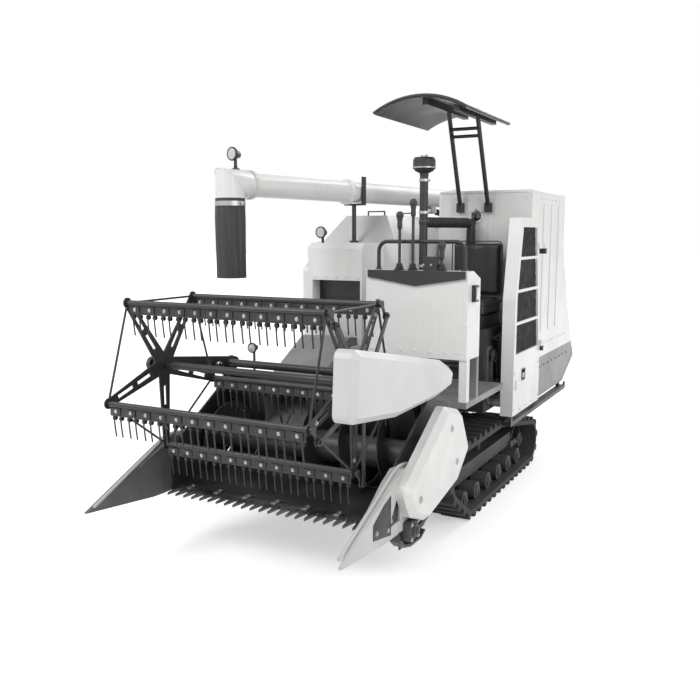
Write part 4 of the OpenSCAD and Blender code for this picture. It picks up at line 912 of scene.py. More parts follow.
@dataclass
class Solids:
    """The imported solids, each dressed in its own finish."""

    finishes: dict[str, Finish] = field(default_factory=lambda: {"track_left": TRACK, "track_right": TRACK,
                                                                 "auger_chute": CHUTE, "engine_block": CASTING,
                                                                 "gearbox": CASTING, "undercarriage_left": CASTING,
                                                                 "undercarriage_right": CASTING,
                                                                 "console_hood": PLASTIC, "control_levers": PLASTIC,
                                                                 "intake_stack": PLASTIC, "work_lamps": PLASTIC,
                                                                 "header_lamp": PLASTIC, "lift_rod": CHROME,
                                                                 "reel_rods": CHROME, "boom_rod": CHROME,
                                                                 "side_panel": GREY, "feeder_house": GREY,
                                                                 "operator_floor": GREY, "cutter_bar": BLADE,
                                                                 "crop_dividers": PALE, "header_pan": DARK,
                                                                 # Painted shade: the reel cover is greyed from white to
                                                                 # light grey so that it reads as shaded.
                                                                 "thresher_top": PALE, "reel_cover": LIGHT_GREY_AND_SHADE,
                                                                 "header_cover": WHITE, })
    white: tuple[str, ...] = ("thresher_body", "thresher_side", "straw_hood", "grain_tank", "console", "engine_door",
                              "auger_tube", "auger_turret", "auger_column", "canopy_roof")

    def dress(self) -> None:
        """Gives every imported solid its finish."""
        for name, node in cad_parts.items():
            finish = self.finishes.get(name, WHITE if name in self.white else DARK)
            finish.dress(node)
        # Painted shade: the left crop divider's faces (x < 0) take the dark slate finish, so that side reads as in
        # shadow.
        self.part("crop_dividers", SLATE_AND_SHADE, lambda middle: middle.x < 0)
        LOG.info("%d solids dressed", len(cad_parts))

    def part(self, name: str, finish: Finish, where: Callable[[Vector], bool]) -> None:
        """Gives some faces of a solid a second finish.

        Args:
            name: The solid's name.
            finish: The second finish.
            where: Tells whether a face with this middle takes it.
        """
        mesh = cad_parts[name].data
        mesh.materials.append(finish.material())
        for polygon in mesh.polygons:
            if where(polygon.center):
                polygon.material_index = len(mesh.materials) - 1


@dataclass
class OperatorSeat(SubAssembly):
    """The operator's seat: two stuffed pads with piping and sewn channels."""

    voxel: float = 0.008
    shrink: float = 0.009
    cap: float = 0.013
    pressure: float = 4.0
    frames: int = 20
    round: float = 0.022
    round_steps: int = 4
    margin: float = 0.001
    groove: float = 0.007
    groove_reach: float = 0.011
    groove_fade: float = 0.12
    face_share: float = 0.6
    piping: float = 0.0045
    piping_inset: float = 0.006
    piping_turn: float = 0.035
    fill: float = 0.7

    def build(self) -> None:
        """Makes the cushion and the backrest in the places of their solids."""
        for node, across, seams in (("seat_cushion", 2, (0.34, 0.67)), ("seat_back", 1, (0.35, 0.7))):
            low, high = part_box(node)
            pad = self.stuffed(node + "_pad", low, high)
            self.sew(pad, low, high, across, seams)
            Bench.only(pad)
            pad.modifiers.new("round", "SUBSURF").levels = 1
            pad.modifiers["round"].render_levels = 1
            bpy.ops.object.modifier_apply(modifier="round")
            self.fit(pad, VINYL, smooth=80.0)
            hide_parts(node)
            self.fit(self.welt(node + "_piping", low, high, across), PLASTIC, slot=Slot.SEAT)

    def stuffed(self, name: str, low: Vector, high: Vector) -> Piece:
        """Swells a rounded block with cloth pressure.

        Args:
            name: The pad's name.
            low: Lowest corner of its room.
            high: Highest corner of its room.

        Returns:
            The pad.
        """
        inset = Vector((self.shrink,) * 3)
        pad = Bench.block(name, low + inset, high - inset, self.round, self.round_steps)
        Bench.only(pad)
        skin = pad.modifiers.new("skin", "REMESH")
        skin.mode = "VOXEL"
        skin.voxel_size = self.voxel
        bpy.ops.object.modifier_apply(modifier="skin")
        before = [v.co.copy() for v in pad.data.vertices]
        self.swell(pad)
        for vertex, start in zip(pad.data.vertices, before):
            swell = vertex.co - start
            if swell.length > self.cap:
                vertex.co = start + swell.normalized() * self.cap
            vertex.co = [min(max(c, a + self.margin), b - self.margin) for c, a, b in zip(vertex.co, low, high)]
        return pad

    def swell(self, pad: Piece) -> None:
        """Runs the cloth and applies its last frame.

        Args:
            pad: The pad.
        """
        cloth = pad.modifiers.new("swell", "CLOTH")
        cloth.settings.use_pressure = True
        cloth.settings.uniform_pressure_force = self.pressure
        cloth.settings.effector_weights.gravity = 0.0
        cloth.settings.quality = 5
        cloth.point_cache.frame_start = 1
        cloth.point_cache.frame_end = self.frames
        for step in range(1, self.frames + 1):
            bpy.context.scene.frame_set(step)
        Bench.only(pad)
        bpy.ops.object.modifier_apply(modifier="swell")
        bpy.context.scene.frame_set(1)

    def sew(self, pad: Piece, low: Vector, high: Vector, across: int, seams: Sequence[float]) -> None:
        """Presses sewn channels into the pad's face.

        Args:
            pad: The pad.
            low: Lowest corner of its room.
            high: Highest corner of its room.
            across: Axis that its face looks along.
            seams: Places of the channels as shares of the width.
        """
        size = high - low
        front = 1 if across == 2 else -1
        for vertex in pad.data.vertices:
            depth = (vertex.co[across] - low[across]) / size[across]
            if (depth if front > 0 else 1 - depth) < self.face_share:
                continue
            spread = (vertex.co[0] - low[0]) / size[0]
            edge = min(spread, 1 - spread)
            other = 1 if across == 2 else 2
            end = (vertex.co[other] - low[other]) / size[other]
            fade = min(1.0, min(edge, end, 1 - end) / self.groove_fade)
            near = min(abs(spread - s) for s in seams) * size[0]
            vertex.co[across] -= front * self.groove * fade * exp(-((near / self.groove_reach) ** 2))

    def welt(self, name: str, low: Vector, high: Vector, across: int) -> Piece:
        """Piping round the pad's face.

        Args:
            name: The piping's name.
            low: Lowest corner of the pad.
            high: Highest corner of the pad.
            across: Axis that its face looks along.

        Returns:
            The piping.
        """
        other = 1 if across == 2 else 2
        level = high[across] - self.round if across == 2 else low[across] + self.round
        inset, turn = self.piping_inset, self.piping_turn
        points = []
        for sx, so in ((0, 0), (1, 0), (1, 1), (0, 1)):
            for part in (0.0, 0.3, 0.7, 1.0):
                swing = part * pi / 2 + (2 * so + (sx if so == 0 else 1 - sx)) * pi / 2 + pi
                cx = (low[0] + inset + turn, high[0] - inset - turn)[sx] + turn * cos(swing)
                co = (low[other] + inset + turn, high[other] - inset - turn)[so] + turn * sin(swing)
                spot = [cx, 0, 0]
                spot[other], spot[across] = co, level
                points.append(spot)
        return Bench.tube(name, points, self.piping, 8, closed=True, smooth=False)


@dataclass
class Lamp(SubAssembly):
    """A round work lamp's bezel and ribbed lens, on its housing's front."""

    name: str
    centre: Spot
    radius: float
    turn: float = 0.0
    bezel: Rings = ((-0.012, 0.97), (-0.01, 1.03), (0.002, 1.03), (0.005, 0.96), (0.005, 0.86), (0.001, 0.84))
    lens: Rings = ((-0.002, 0.85), (0.002, 0.85), (0.0045, 0.6), (0.006, 0.3), (0.0062, 0.04))

    def build(self) -> None:
        """Fits the bezel and the lens."""
        place = move(self.centre) @ Matrix.Rotation(radians(self.turn), 4, "Z") @ Face.FRONT.turn()
        bezel = Bench.turned(self.name + "_bezel", [(h, r * self.radius) for h, r in self.bezel], 28)
        self.fit(Bench.settle(bezel, place), PLASTIC)
        lens = Bench.turned(self.name + "_lens", [(h, r * self.radius) for h, r in self.lens], 28)
        self.fit(Bench.settle(lens, place), LENS, smooth=60.0)


@dataclass
class EngineDoor(SubAssembly):
    """The hinged door's woven screens, handle and hinge bolts."""

    face: float = 0.816
    front: float = 0.185
    slant: float = 0.11
    slant_z: float = 1.4
    top: float = 1.915
    back: float = 0.785
    tail: float = 0.14
    tail_z: float = 1.0
    low: float = 1.01
    panes: int = 4
    bar: float = 0.02
    pitch: float = 0.014
    wire: float = 0.0016
    over: float = 0.045

    def edges(self, z: float) -> Pair:
        """Front and rear edge of the panes at a height.

        Args:
            z: The height.

        Returns:
            The two places along the machine.
        """
        rise = max(0.0, z - self.slant_z) / (self.top + self.over - self.slant_z)
        fall = max(0.0, z - self.tail_z) / (self.top + self.over - self.tail_z)
        return self.front + self.slant * rise, self.back - self.tail * fall

    def build(self) -> None:
        """Weaves the screens and adds the door's fittings."""
        height = (self.top - self.low) / self.panes
        wires: list[Matrix] = []
        sheets = []
        for k in range(self.panes):
            z0, z1 = self.low + k * height, self.low + (k + 1) * height - self.bar
            levels = sorted({z0, z1, *([self.slant_z] if z0 < self.slant_z < z1 else [])})
            left = [(self.face - 0.006, self.edges(z)[0], z) for z in levels]
            right = [(self.face - 0.006, self.edges(z)[1], z) for z in reversed(levels)]
            sheets.append(Bench.plate("gauze", left + right, (0.002, 0, 0)))
            wires += self.weave(z0, z1)
        gauze = self.fit(Bench.join("door_gauze", sheets), GAUZE)
        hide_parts("engine_screen")
        model = Bench.block("wire", (-self.wire, -self.wire, 0), (self.wire, self.wire, 1), 0.0006, 1)
        self.many("door_screen_wires", model, wires, DARK)
        self.handle()

    def weave(self, z0: float, z1: float) -> list[Matrix]:
        """Places of the wires in one pane.

        Args:
            z0: The pane's foot.
            z1: The pane's head.

        Returns:
            A place for each wire, scaled to its length.
        """
        made = []
        count = int((z1 - z0) / self.pitch)
        for i in range(1, count):
            z = z0 + (z1 - z0) * i / count
            a, b = self.edges(z)
            made.append(move((self.face + 0.001, a, z)) @ Face.REAR.turn() @ Matrix.Diagonal((1, 1, b - a, 1)))
        y = self.front + self.pitch
        while y < self.back:
            inside = [z0 + (z1 - z0) * q / 40 for q in range(41)]
            inside = [z for z in inside if self.edges(z)[0] <= y <= self.edges(z)[1]]
            if len(inside) > 1:
                foot, head = inside[0], inside[-1]
                made.append(move((self.face + 0.004, y, foot)) @ Matrix.Diagonal((1, 1, head - foot, 1)))
            y += self.pitch
        return made

    def handle(self) -> None:
        """A square flush latch, and bolts on the door's border."""
        x = self.face + 0.02
        plate = Bench.block("door_latch", (x - 0.002, 0.344, 0.803), (x + 0.006, 0.424, 0.887), 0.0025)
        Bench.press(plate, Face.RIGHT, 0.0005, [(0.01, -0.006)])
        self.fit(plate, DARK)
        paddle = Bench.block("door_paddle", (x - 0.001, 0.36, 0.82), (x + 0.005, 0.408, 0.858), 0.0025)
        self.fit(paddle, STEEL)
        self.painted("door_bolts", "engine_door", Face.LEFT, 0.007, [(2.0, 0.163, z) for z in (0.62, 0.88, 1.14)]
                     + [(2.0, 0.805, z) for z in (0.62, 0.88)] + [(2.0, y, 0.6) for y in (0.32, 0.48, 0.64)])


@dataclass
class Reel(SubAssembly):
    """The pick-up reel's tine clamps, spring coils and hub bolts."""

    axis: Pair = (-1.81, 1.12)
    radius: float = 0.455
    phase: float = 54.0
    half: float = 0.604
    bars: int = 5
    pairs: int = 12
    tine_half: float = 0.586
    tine_edge: float = 0.042
    pair_gap: float = 0.044
    slat: Pair = (-0.06, -0.008)
    slat_face: float = 0.003
    clamp_box: Box = ((-0.03, -0.005, -0.019), (0.03, 0, 0.019), 0.0018)
    hub_rings: Rings = ((0, 0.06), (0.004, 0.06), (0.006, 0.057), (0.006, 0.036), (0.01, 0.033), (0.01, 0.026))

    def bar_axis(self, k: int) -> Pair:
        """Places of a tine bar's axis along the machine and up, by its number from 1."""
        a = radians(self.phase + (k - 1) * 360 / self.bars)
        return self.axis[0] + self.radius * cos(a), self.axis[1] + self.radius * sin(a)

    def build(self) -> None:
        """Dresses each tine bar, then the spiders."""
        step = 2 * (self.tine_half - self.tine_edge) / (self.pairs - 1)
        places = [self.tine_edge - self.tine_half + i * step for i in range(self.pairs)]
        for k in range(1, self.bars + 1):
            self.tine_fittings(k, places, *self.bar_axis(k))
        self.spiders()

    def tine_fittings(self, k: int, places: Sequence[float], y: float, z: float) -> None:
        """Clamp plates, bolts and spring coils on a slat.

        Args:
            k: The bar's number.
            places: The tine pairs' places across the machine.
            y: The bar's place along the machine.
            z: The bar's height.
        """
        body = f"tine_bar_{k}"
        mid = z + sum(self.slat) / 2
        plate = Bench.block("clamp", *self.clamp_box)
        spots = [move((x, y - self.slat_face, mid)) for x in places]
        self.many(f"tine_clamps_{k}", plate, spots, DARK, body)
        bolts = [Bench.at((x, y - self.slat_face - 0.005, mid), Face.FRONT) for x in places]
        bolts += [Bench.at((x, y + self.slat_face, mid), Face.REAR) for x in places]
        self.bolts(f"tine_bolts_{k}", bolts, 0.0068, body)
        ring = Bench.settle(Bench.ring("coil_ring", 0.0098, 0.003, 12, 5), Matrix.Rotation(pi / 2, 4, "Y"))
        coil = Bench.copies("coil", ring, [move((0.0062 * t, 0, 0)) for t in (-1, 0, 1)])
        spots = [move((x + s * self.pair_gap / 2, y + 0.01, z + self.slat[0] - 0.012)) for x in places for s in (-1, 1)]
        self.many(f"tine_coils_{k}", coil, spots, SPRING, body)

    def spiders(self) -> None:
        """Bolts round the spiders' hubs, with a stiffening ring on each."""
        y, z = self.axis
        spots = []
        rings = []
        for side in (-1, 1):
            face = Face.RIGHT if side > 0 else Face.LEFT
            ring = Bench.turned("hub_ring", self.hub_rings, 30)
            rings.append(Bench.settle(ring, Bench.at((side * self.half, y, z), face)))
            for i in range(5):
                a = radians(72 * i + self.phase + 36)
                spots.append(Bench.at((side * (self.half + 0.006), y + 0.047 * cos(a), z + 0.047 * sin(a)), face))
            for k in range(1, self.bars + 1):
                by, bz = self.bar_axis(k)
                for share in (0.24, 0.86):
                    spots.append(Bench.at((side * self.half, y + share * (by - y), z + share * (bz - z)), face))
        self.fit(Bench.join("reel_hub_rings", rings), DARK)
        self.bolts("reel_hub_bolts", spots, 0.009)


@dataclass
class Header(SubAssembly):
    """The cutting table's knife, divider, cover and feeder fittings."""

    half: float = 0.7
    plate: float = 0.012
    divider: float = 0.07
    knife: Pair = (-1.6, 0.33)
    heel: Pair = (-1.8, 0.33)
    top: Pair = (-1.62, 0.655)
    window_depth: float = 0.016
    window: Outline = ((0.1, 0.2), (0.85, 0.2), (0.85, 0.75))
    clip: Line = ((-0.016, -0.036, 0), (0.016, -0.036, 0), (0.021, 0.028, 0), (-0.021, 0.028, 0))
    shoe: Outline = ((-1.665, 0.335), (-1.64, 0.272), (-1.585, 0.226), (-1.5, 0.203), (-1.36, 0.2), (-1.3, 0.225),
                     (-1.306, 0.236), (-1.362, 0.214), (-1.496, 0.217), (-1.575, 0.24), (-1.624, 0.282), (-1.64, 0.335))
    catches: Outline = ((-1.56, 0.492), (-1.03, 0.56), (-1.12, 0.77))
    gear_hub_rings: Rings = ((0, 0.036), (0.008, 0.036), (0.012, 0.031), (0.012, 0.018), (0.022, 0.016), (0.023, 0.009))
    catch_rings: Rings = ((-0.001, 0.02), (0.003, 0.02), (0.005, 0.017), (0.005, 0.01), (0.009, 0.009), (0.01, 0.007))
    rod: Outline = ((-1.49, 0.652), (-1.612, 0.66), (-1.8, 0.586), (-2.03, 0.487), (-2.235, 0.398))
    stay: Outline = ((-0.022, 0.205), (0.022, 0.205), (0.014, 0.345), (-0.014, 0.345))
    guard: Outline = ((-1.5, 0.36), (-1.29, 0.37), (-1.325, 0.27), (-1.47, 0.255))
    panel: Outline = ((-1.958, 0.392), (-1.958, 0.47), (-1.835, 0.536), (-1.76, 0.56), (-1.76, 0.356))

    def build(self) -> None:
        """Adds the fittings one by one."""
        self.knife_clips()
        self.divider_plates()
        self.knife_drive()
        self.cover_catches()
        self.wall_bolts()
        self.feeder()

    def knife_clips(self) -> None:
        """Hold-down clips along the knife."""
        y = self.knife[0]
        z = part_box("cutter_bar")[1].z
        model = Bench.plate("clip", self.clip, (0, 0, 0.006), 0.0015)
        places = [-0.6 + 0.2 * i for i in range(7)]
        self.many("knife_clips", model, [move((x, y, z)) for x in places], STEEL)
        self.bolts("knife_bolts", [Bench.at((x, y + 0.016, z + 0.006)) for x in places], 0.007)

    def divider_plates(self) -> None:
        """A dark plate with two bolts in each divider's recess, and the rod along its top."""
        (y0, z0), (y1, z1) = self.heel, self.top
        for side, tag in ((1, "left"), (-1, "right")):
            x = side * (self.half + self.plate + self.divider - self.window_depth)
            corners = [(y0 + a * (y1 - y0), z0 + b * (z1 - z0)) for a, b in self.window]
            middle = [sum(c[i] for c in corners) / 3 for i in (0, 1)]
            inner = [(m + 0.97 * (c - m) for c, m in zip(corner, middle)) for corner in corners]
            plate = Bench.plate(f"divider_plate_{tag}", [(x, *corner) for corner in inner], (side * 0.006, 0, 0), 0.002)
            self.fit(plate, DARK)
            spots = [tuple(m + 0.55 * (c - m) for c, m in zip(corner, middle)) for corner in (corners[0], corners[2])]
            face = Face.RIGHT if side > 0 else Face.LEFT
            self.bolts(f"divider_bolts_{tag}", [Bench.at((x + side * 0.006, *s), face) for s in spots], 0.012)
            rail = [(side * (self.half + self.plate + 0.035), a, b) for a, b in self.rod]
            self.fit(Bench.tube(f"divider_rod_{tag}", rail, 0.009, 10), PALE)

    def knife_drive(self) -> None:
        """The skid shoe, the knife's gear case and its link, under the side cover."""
        x0, x1 = self.half + self.plate + 0.006, self.half + self.plate + self.divider
        parts = [Bench.plate("skid_shoe", [(x0, y, z) for y, z in self.shoe], (x1 - x0, 0, 0), 0.001)]
        for y in (-1.555, -1.4):
            stay = [(x0 + 0.024, y + a, z) for a, z in self.stay]
            parts.append(Bench.plate("skid_stay", stay, (0.01, 0, 0), 0.001))
        self.fit(Bench.join("skid_shoe", parts), DARK)
        case = Bench.block("gear_case", (x1 - 0.03, -1.61, 0.268), (x1 + 0.046, -1.5, 0.372), 0.014, 3)
        hub = Bench.turned("gear_hub", self.gear_hub_rings, 24)
        hub = Bench.settle(hub, Bench.at((x1 + 0.046, -1.555, 0.322), Face.RIGHT))
        link = Bench.tube("gear_link", [(x1 + 0.02, -1.51, 0.315), (x1 + 0.02, -1.44, 0.3), (x1 + 0.016, -1.33, 0.318)],
                          0.011, 12)
        guard = Bench.plate("gear_guard", [(x1 - 0.004, *s) for s in self.guard], (0.01, 0, 0), 0.0012)
        self.fit(Bench.join("gear_case", [case, hub, link, guard]), CASTING)
        spots = [Bench.at((x1 + 0.046, -1.555 + 0.042 * a, 0.322 + 0.04 * b), Face.RIGHT) for a in (-1, 1)
                 for b in (-1, 1)]
        spots += [Bench.at((x1 + 0.006, y, z), Face.RIGHT) for y, z in ((-1.47, 0.345), (-1.32, 0.35), (-1.345, 0.285))]
        self.bolts("gear_bolts", spots, 0.008)
        panel = Bench.plate("divider_panel", [(x1, *s) for s in self.panel], (0.003, 0, 0), 0.001)
        self.fit(panel, DARK)
        spots = [Bench.at((x1 + 0.003, *s), Face.RIGHT) for s in ((-1.925, 0.42), (-1.795, 0.392))]
        self.bolts("divider_panel_bolts", spots, 0.009)

    def cover_catches(self) -> None:
        """Turn-lock catches on the side cover."""
        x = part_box("header_cover")[1].x
        model = Bench.turned("catch", self.catch_rings, 20)
        self.many("cover_catches", model, [Bench.at((x, *s), Face.RIGHT) for s in self.catches], STEEL)

    def wall_bolts(self) -> None:
        """Bolts along the back wall's upper edge and the side plates."""
        spots = [Bench.at((-0.65 + 0.1 * i, -1.0, 0.925), Face.REAR) for i in range(14)]
        self.bolts("header_wall_bolts", spots, 0.009)
        spots = [Bench.at((-(self.half + self.plate), y, z), Face.LEFT) for y, z in
                 ((-1.05, 0.9), (-1.05, 0.7), (-1.05, 0.5), (-1.25, 0.4), (-1.42, 0.4))]
        self.bolts("header_side_bolts", spots, 0.01)

    def feeder(self) -> None:
        """Bolts along the feeder house."""
        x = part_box("feeder_house")[1].x
        spots = [Bench.at((x, -0.98 + 0.075 * i, 0.635 + 0.0295 * i), Face.RIGHT) for i in range(6)]
        self.bolts("feeder_bolts", spots, 0.009)


@dataclass
class Thresher(SubAssembly):
    """Fittings of the threshing body: louvred slot, latches and the rear curtain."""

    slot_x: Pair = (-0.492, -0.114)
    slot_z: Pair = (1.383, 1.528)
    slot_back: float = -0.24
    slats: int = 4
    strips: int = 9
    latch_base_box: Box = ((-0.018, -0.04, 0), (0.018, 0.04, 0.006), 0.002)
    latch_lever_box: Box = ((-0.01, -0.046, 0.006), (0.01, 0.03, 0.013), 0.003)
    latch_hook_line: Line = ((-0.01, 0.02, 0.012), (-0.01, 0.055, 0.01), (0.01, 0.055, 0.01), (0.01, 0.02, 0.012))
    handle_line: Line = ((-0.07, 0, -0.004), (-0.07, 0, 0.035), (0.07, 0, 0.035), (0.07, 0, -0.004))

    def build(self) -> None:
        """Adds the fittings."""
        self.louvres()
        self.seams()
        self.curtain()

    def louvres(self) -> None:
        """Painted shade as a dark sheet on the front slot's back wall, and tilted slats in the slot."""
        (x0, x1), (z0, z1) = self.slot_x, self.slot_z
        # Painted shade: a dark sheet on the slot's back wall stands in for the shade deep in the recess.
        recess_shade = Bench.block("slot_recess_shade", (x0 + 0.001, self.slot_back - 0.006, z0 + 0.001),
                            (x1 - 0.001, self.slot_back - 0.001, z1 - 0.001), 0.001, 1)
        self.fit(recess_shade, DARK)
        model = Bench.block("slat", (x0 + 0.002, -0.03, -0.002), (x1 - 0.002, 0.03, 0.002), 0.001, 1)
        step = (z1 - z0) / self.slats
        tilt = Matrix.Rotation(radians(-28), 4, "X")
        spots = [move((0, self.slot_back + 0.05, z0 + (i + 0.5) * step)) @ tilt for i in range(self.slats)]
        self.many("slot_slats", model, spots, DARK)

    def seams(self) -> None:
        """Bolts along the panels' edges, over-centre latches and a lifting handle on the cover."""
        self.painted("inlet_bolts", "thresher_body", Face.REAR, 0.008,
                     [(-0.47 + 0.0835 * i, -1.0, z) for z in (1.36, 1.55) for i in range(5)])
        self.painted("inlet_side_bolts", "thresher_body", Face.LEFT, 0.008,
                     [(0.5, -0.3 + 0.06 * i, 1.6) for i in range(5)])
        self.painted("guard_bolts", "thresher_side", Face.RIGHT, 0.01,
                     [(-2.0, 0.15 + 0.22 * i, z) for i in range(9) for z in (1.52, 0.75)])
        self.painted("cover_bolts", "thresher_top", Face.DOWN, 0.009,
                     [(-0.366 + 0.23 * s, 0.35 + 0.25 * i, 3.0) for s in (-1, 1) for i in range(4)])
        base = Bench.block("latch_base", *self.latch_base_box)
        lever = Bench.block("latch_lever", *self.latch_lever_box)
        hook = Bench.tube("latch_hook", self.latch_hook_line, 0.0028, 6, smooth=False)
        model = Bench.join("latch", [base, lever, hook])
        places = Bench.onto("thresher_side", [(-2.0, 0.35 + 0.55 * i, 1.4) for i in range(3)], Face.RIGHT)
        self.many("guard_latches", model, places, STEEL)
        model = Bench.tube("handle", self.handle_line, 0.007, 10, smooth=False)
        places = Bench.onto("thresher_top", [(-0.366, 0.42, 3.0), (-0.366, 1.0, 3.0)], Face.DOWN)
        self.many("cover_handles", model, places, DARK)

    def curtain(self) -> None:
        """Rubber strips that hang in the straw hood's outlet."""
        low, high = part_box("straw_hood")
        width = (high.x - low.x - 0.08) / self.strips
        model = Bench.block("strip", (0.004, -0.003, -0.2), (width - 0.004, 0.003, 0), 0.0015, 1)
        spots = []
        for i in range(self.strips):
            sway = Matrix.Rotation(0.05 * ((i * 7) % 3 - 1), 4, "X")
            spots.append(move((low.x + 0.04 + i * width, high.y - 0.045, low.z + 0.205)) @ sway)
        self.many("hood_curtain", model, spots, CHUTE)
        self.painted("hood_bolts", "straw_hood", Face.FRONT, 0.008,
                     [(low.x + 0.05 + 0.09 * i, 4.0, 1.0) for i in range(8)])


@dataclass
class Tank(SubAssembly):
    """The grain tank's rolled rim, ribs and sight glass."""

    front: float = 0.66
    back: float = 1.69
    inner: float = 0.06
    outer: float = 0.79
    rim: float = 2.16
    sight: Spot = (0.365, 0.653, 1.985)
    rib_shape: Line = ((0, -0.03, 0), (0, 0.03, 0), (0, 0.03, 1.0), (0, -0.03, 1.0))
    sight_glass_rings: Rings = ((-0.006, 0.0405), (0.001, 0.0405), (0.004, 0.03), (0.0055, 0.012))

    def build(self) -> None:
        """Adds the rim, ribs, glass and bolts."""
        corners = [(self.inner, self.front), (self.outer, self.front), (self.outer, self.back), (self.inner, self.back)]
        middle = Vector(((self.inner + self.outer) / 2, (self.front + self.back) / 2))
        loop = []
        for i, corner in enumerate(corners):
            here = Vector(corner) - (Vector(corner) - middle).normalized() * 0.006
            for other in (corners[i - 1], corners[(i + 1) % 4]):
                step = (Vector(other) - Vector(corner)).normalized() * 0.02
                loop.append((*(here + step), self.rim))
        self.fit(Bench.tube("tank_rim", loop, 0.0125, 12, closed=True, smooth=False), WHITE, smooth=60.0)
        rib = Bench.plate("rib", self.rib_shape, (0.006, 0, 0), 0.0028)
        spots = [move((self.outer - 0.0005, 1.02 + 0.24 * i, 1.08)) for i in range(3)]
        self.many("tank_ribs", rib, spots, WHITE)
        glass = Bench.turned("sight_glass", self.sight_glass_rings, 28)
        self.fit(Bench.settle(glass, Bench.at(self.sight, Face.FRONT)), GLASS, smooth=60.0)
        spots = [Bench.at((self.sight[0] + 0.048 * cos(a), 0.646, self.sight[2] + 0.048 * sin(a)), Face.FRONT)
                 for a in [radians(30 + 60 * i) for i in range(6)]]
        self.bolts("sight_bolts", spots, 0.0045)
        self.painted("tank_front_bolts", "grain_tank", Face.REAR, 0.007,
                     [(0.1 + 0.0925 * i, 0.0, 2.115) for i in range(8)])
        self.painted("tank_side_bolts", "grain_tank", Face.LEFT, 0.007,
                     [(3.0, 0.92 + 0.11 * i, z) for z, n in ((2.115, 7), (0.98, 9)) for i in range(n)])


@dataclass
class Station(SubAssembly):
    """The operator's console: instruments, levers' boots and grips."""

    top: float = 1.625
    lever_y: float = -0.68
    levers: Outline = ((0.33, 0.335), (0.42, 0.41), (0.61, 0.15))
    grip: Rings = ((-0.085, 0.0105), (-0.078, 0.015), (-0.06, 0.0165), (-0.042, 0.015), (-0.026, 0.0175),
                   (-0.008, 0.0205), (0.006, 0.021), (0.018, 0.0175), (0.024, 0.01))
    dial_panel_box: Box = ((-0.26, -0.058, -0.002), (0.26, 0.058, 0.006), 0.004, 3)
    dial_rim_rings: Rings = ((0, 0.036), (0.006, 0.036), (0.008, 0.033), (0.008, 0.0305), (0.004, 0.029))
    dial_glass_rings: Rings = ((0.002, 0.0295), (0.0055, 0.0295), (0.0065, 0.015))
    rocker_box: Box = ((-0.011, -0.016, 0), (0.011, 0.016, 0.008), 0.002)
    key_switch_rings: Rings = ((0, 0.017), (0.006, 0.017), (0.008, 0.014), (0.008, 0.006), (0.02, 0.005))
    side_lens_box: Box = ((0.815, -0.632, 1.452), (0.82, -0.588, 1.528), 0.002)
    rail_collar_rings: Rings = ((0, 0.024), (0.004, 0.024), (0.007, 0.02), (0.007, 0.0145), (0.02, 0.014))

    def build(self) -> None:
        """Adds the console's fittings."""
        for i, (x, length) in enumerate(self.levers):
            pleats = [(0.007 + 0.006 * j, (0.03 if j % 2 else 0.0245) - 0.0018 * j) for j in range(6)]
            boot = [(0.0, 0.034), (0.005, 0.034), *pleats, (0.046, 0.01)]
            piece = Bench.turned(f"lever_boot_{i}", boot, 22)
            self.fit(Bench.settle(piece, Bench.at((x, self.lever_y, self.top))), CHUTE)
            piece = Bench.turned(f"lever_grip_{i}", self.grip, 20)
            self.fit(Bench.settle(piece, Bench.at((x, self.lever_y, self.top + length))), PLASTIC, smooth=60.0)
        self.instruments()

    def instruments(self) -> None:
        """A panel with three dials, a key switch and rocker switches on the console's slope."""
        fall = atan2(0.05, 0.1334)
        place = move((0.4525, -0.5467, self.top - 0.025)) @ Matrix.Rotation(-fall, 4, "X")
        panel = Bench.settle(Bench.block("dial_panel", *self.dial_panel_box), place)
        self.fit(panel, PLASTIC)
        rim = Bench.turned("dial_rim", self.dial_rim_rings, 28)
        dials = [place @ move((x, 0, 0.006)) for x in (-0.19, -0.1, -0.01)]
        self.many("dial_rims", rim, dials, STEEL)
        glass = Bench.turned("dial_glass", self.dial_glass_rings, 24)
        self.many("dial_glasses", glass, dials, GLASS)
        rocker = Bench.block("rocker", *self.rocker_box)
        self.many("rockers", rocker, [place @ move((0.075 + 0.032 * i, 0, 0.006)) for i in range(4)], PLASTIC)
        key = Bench.turned("key_switch", self.key_switch_rings, 20)
        self.fit(Bench.settle(key, place @ move((0.225, 0, 0.006))), STEEL)
        self.painted("console_bolts", "console", Face.REAR, 0.007, [(0.16 + 0.0975 * i, -2.0, 1.13) for i in range(7)]
                     + [(x, -2.0, 1.3) for x in (0.135, 0.77)])
        bolts = [(0.5 + s * 0.05, -2.0, 1.66) for s in (0, 1)]
        self.bolts("box_screws", Bench.onto("control_levers", bolts, Face.REAR), 0.005)
        lens = Bench.block("side_lens", *self.side_lens_box)
        self.fit(lens, LENS)
        cap = Bench.turned("rail_collar", self.rail_collar_rings, 24)
        self.many("rail_collars", cap, [move((x, -0.6314, self.top)) for x in (0.165, 0.74)], DARK)


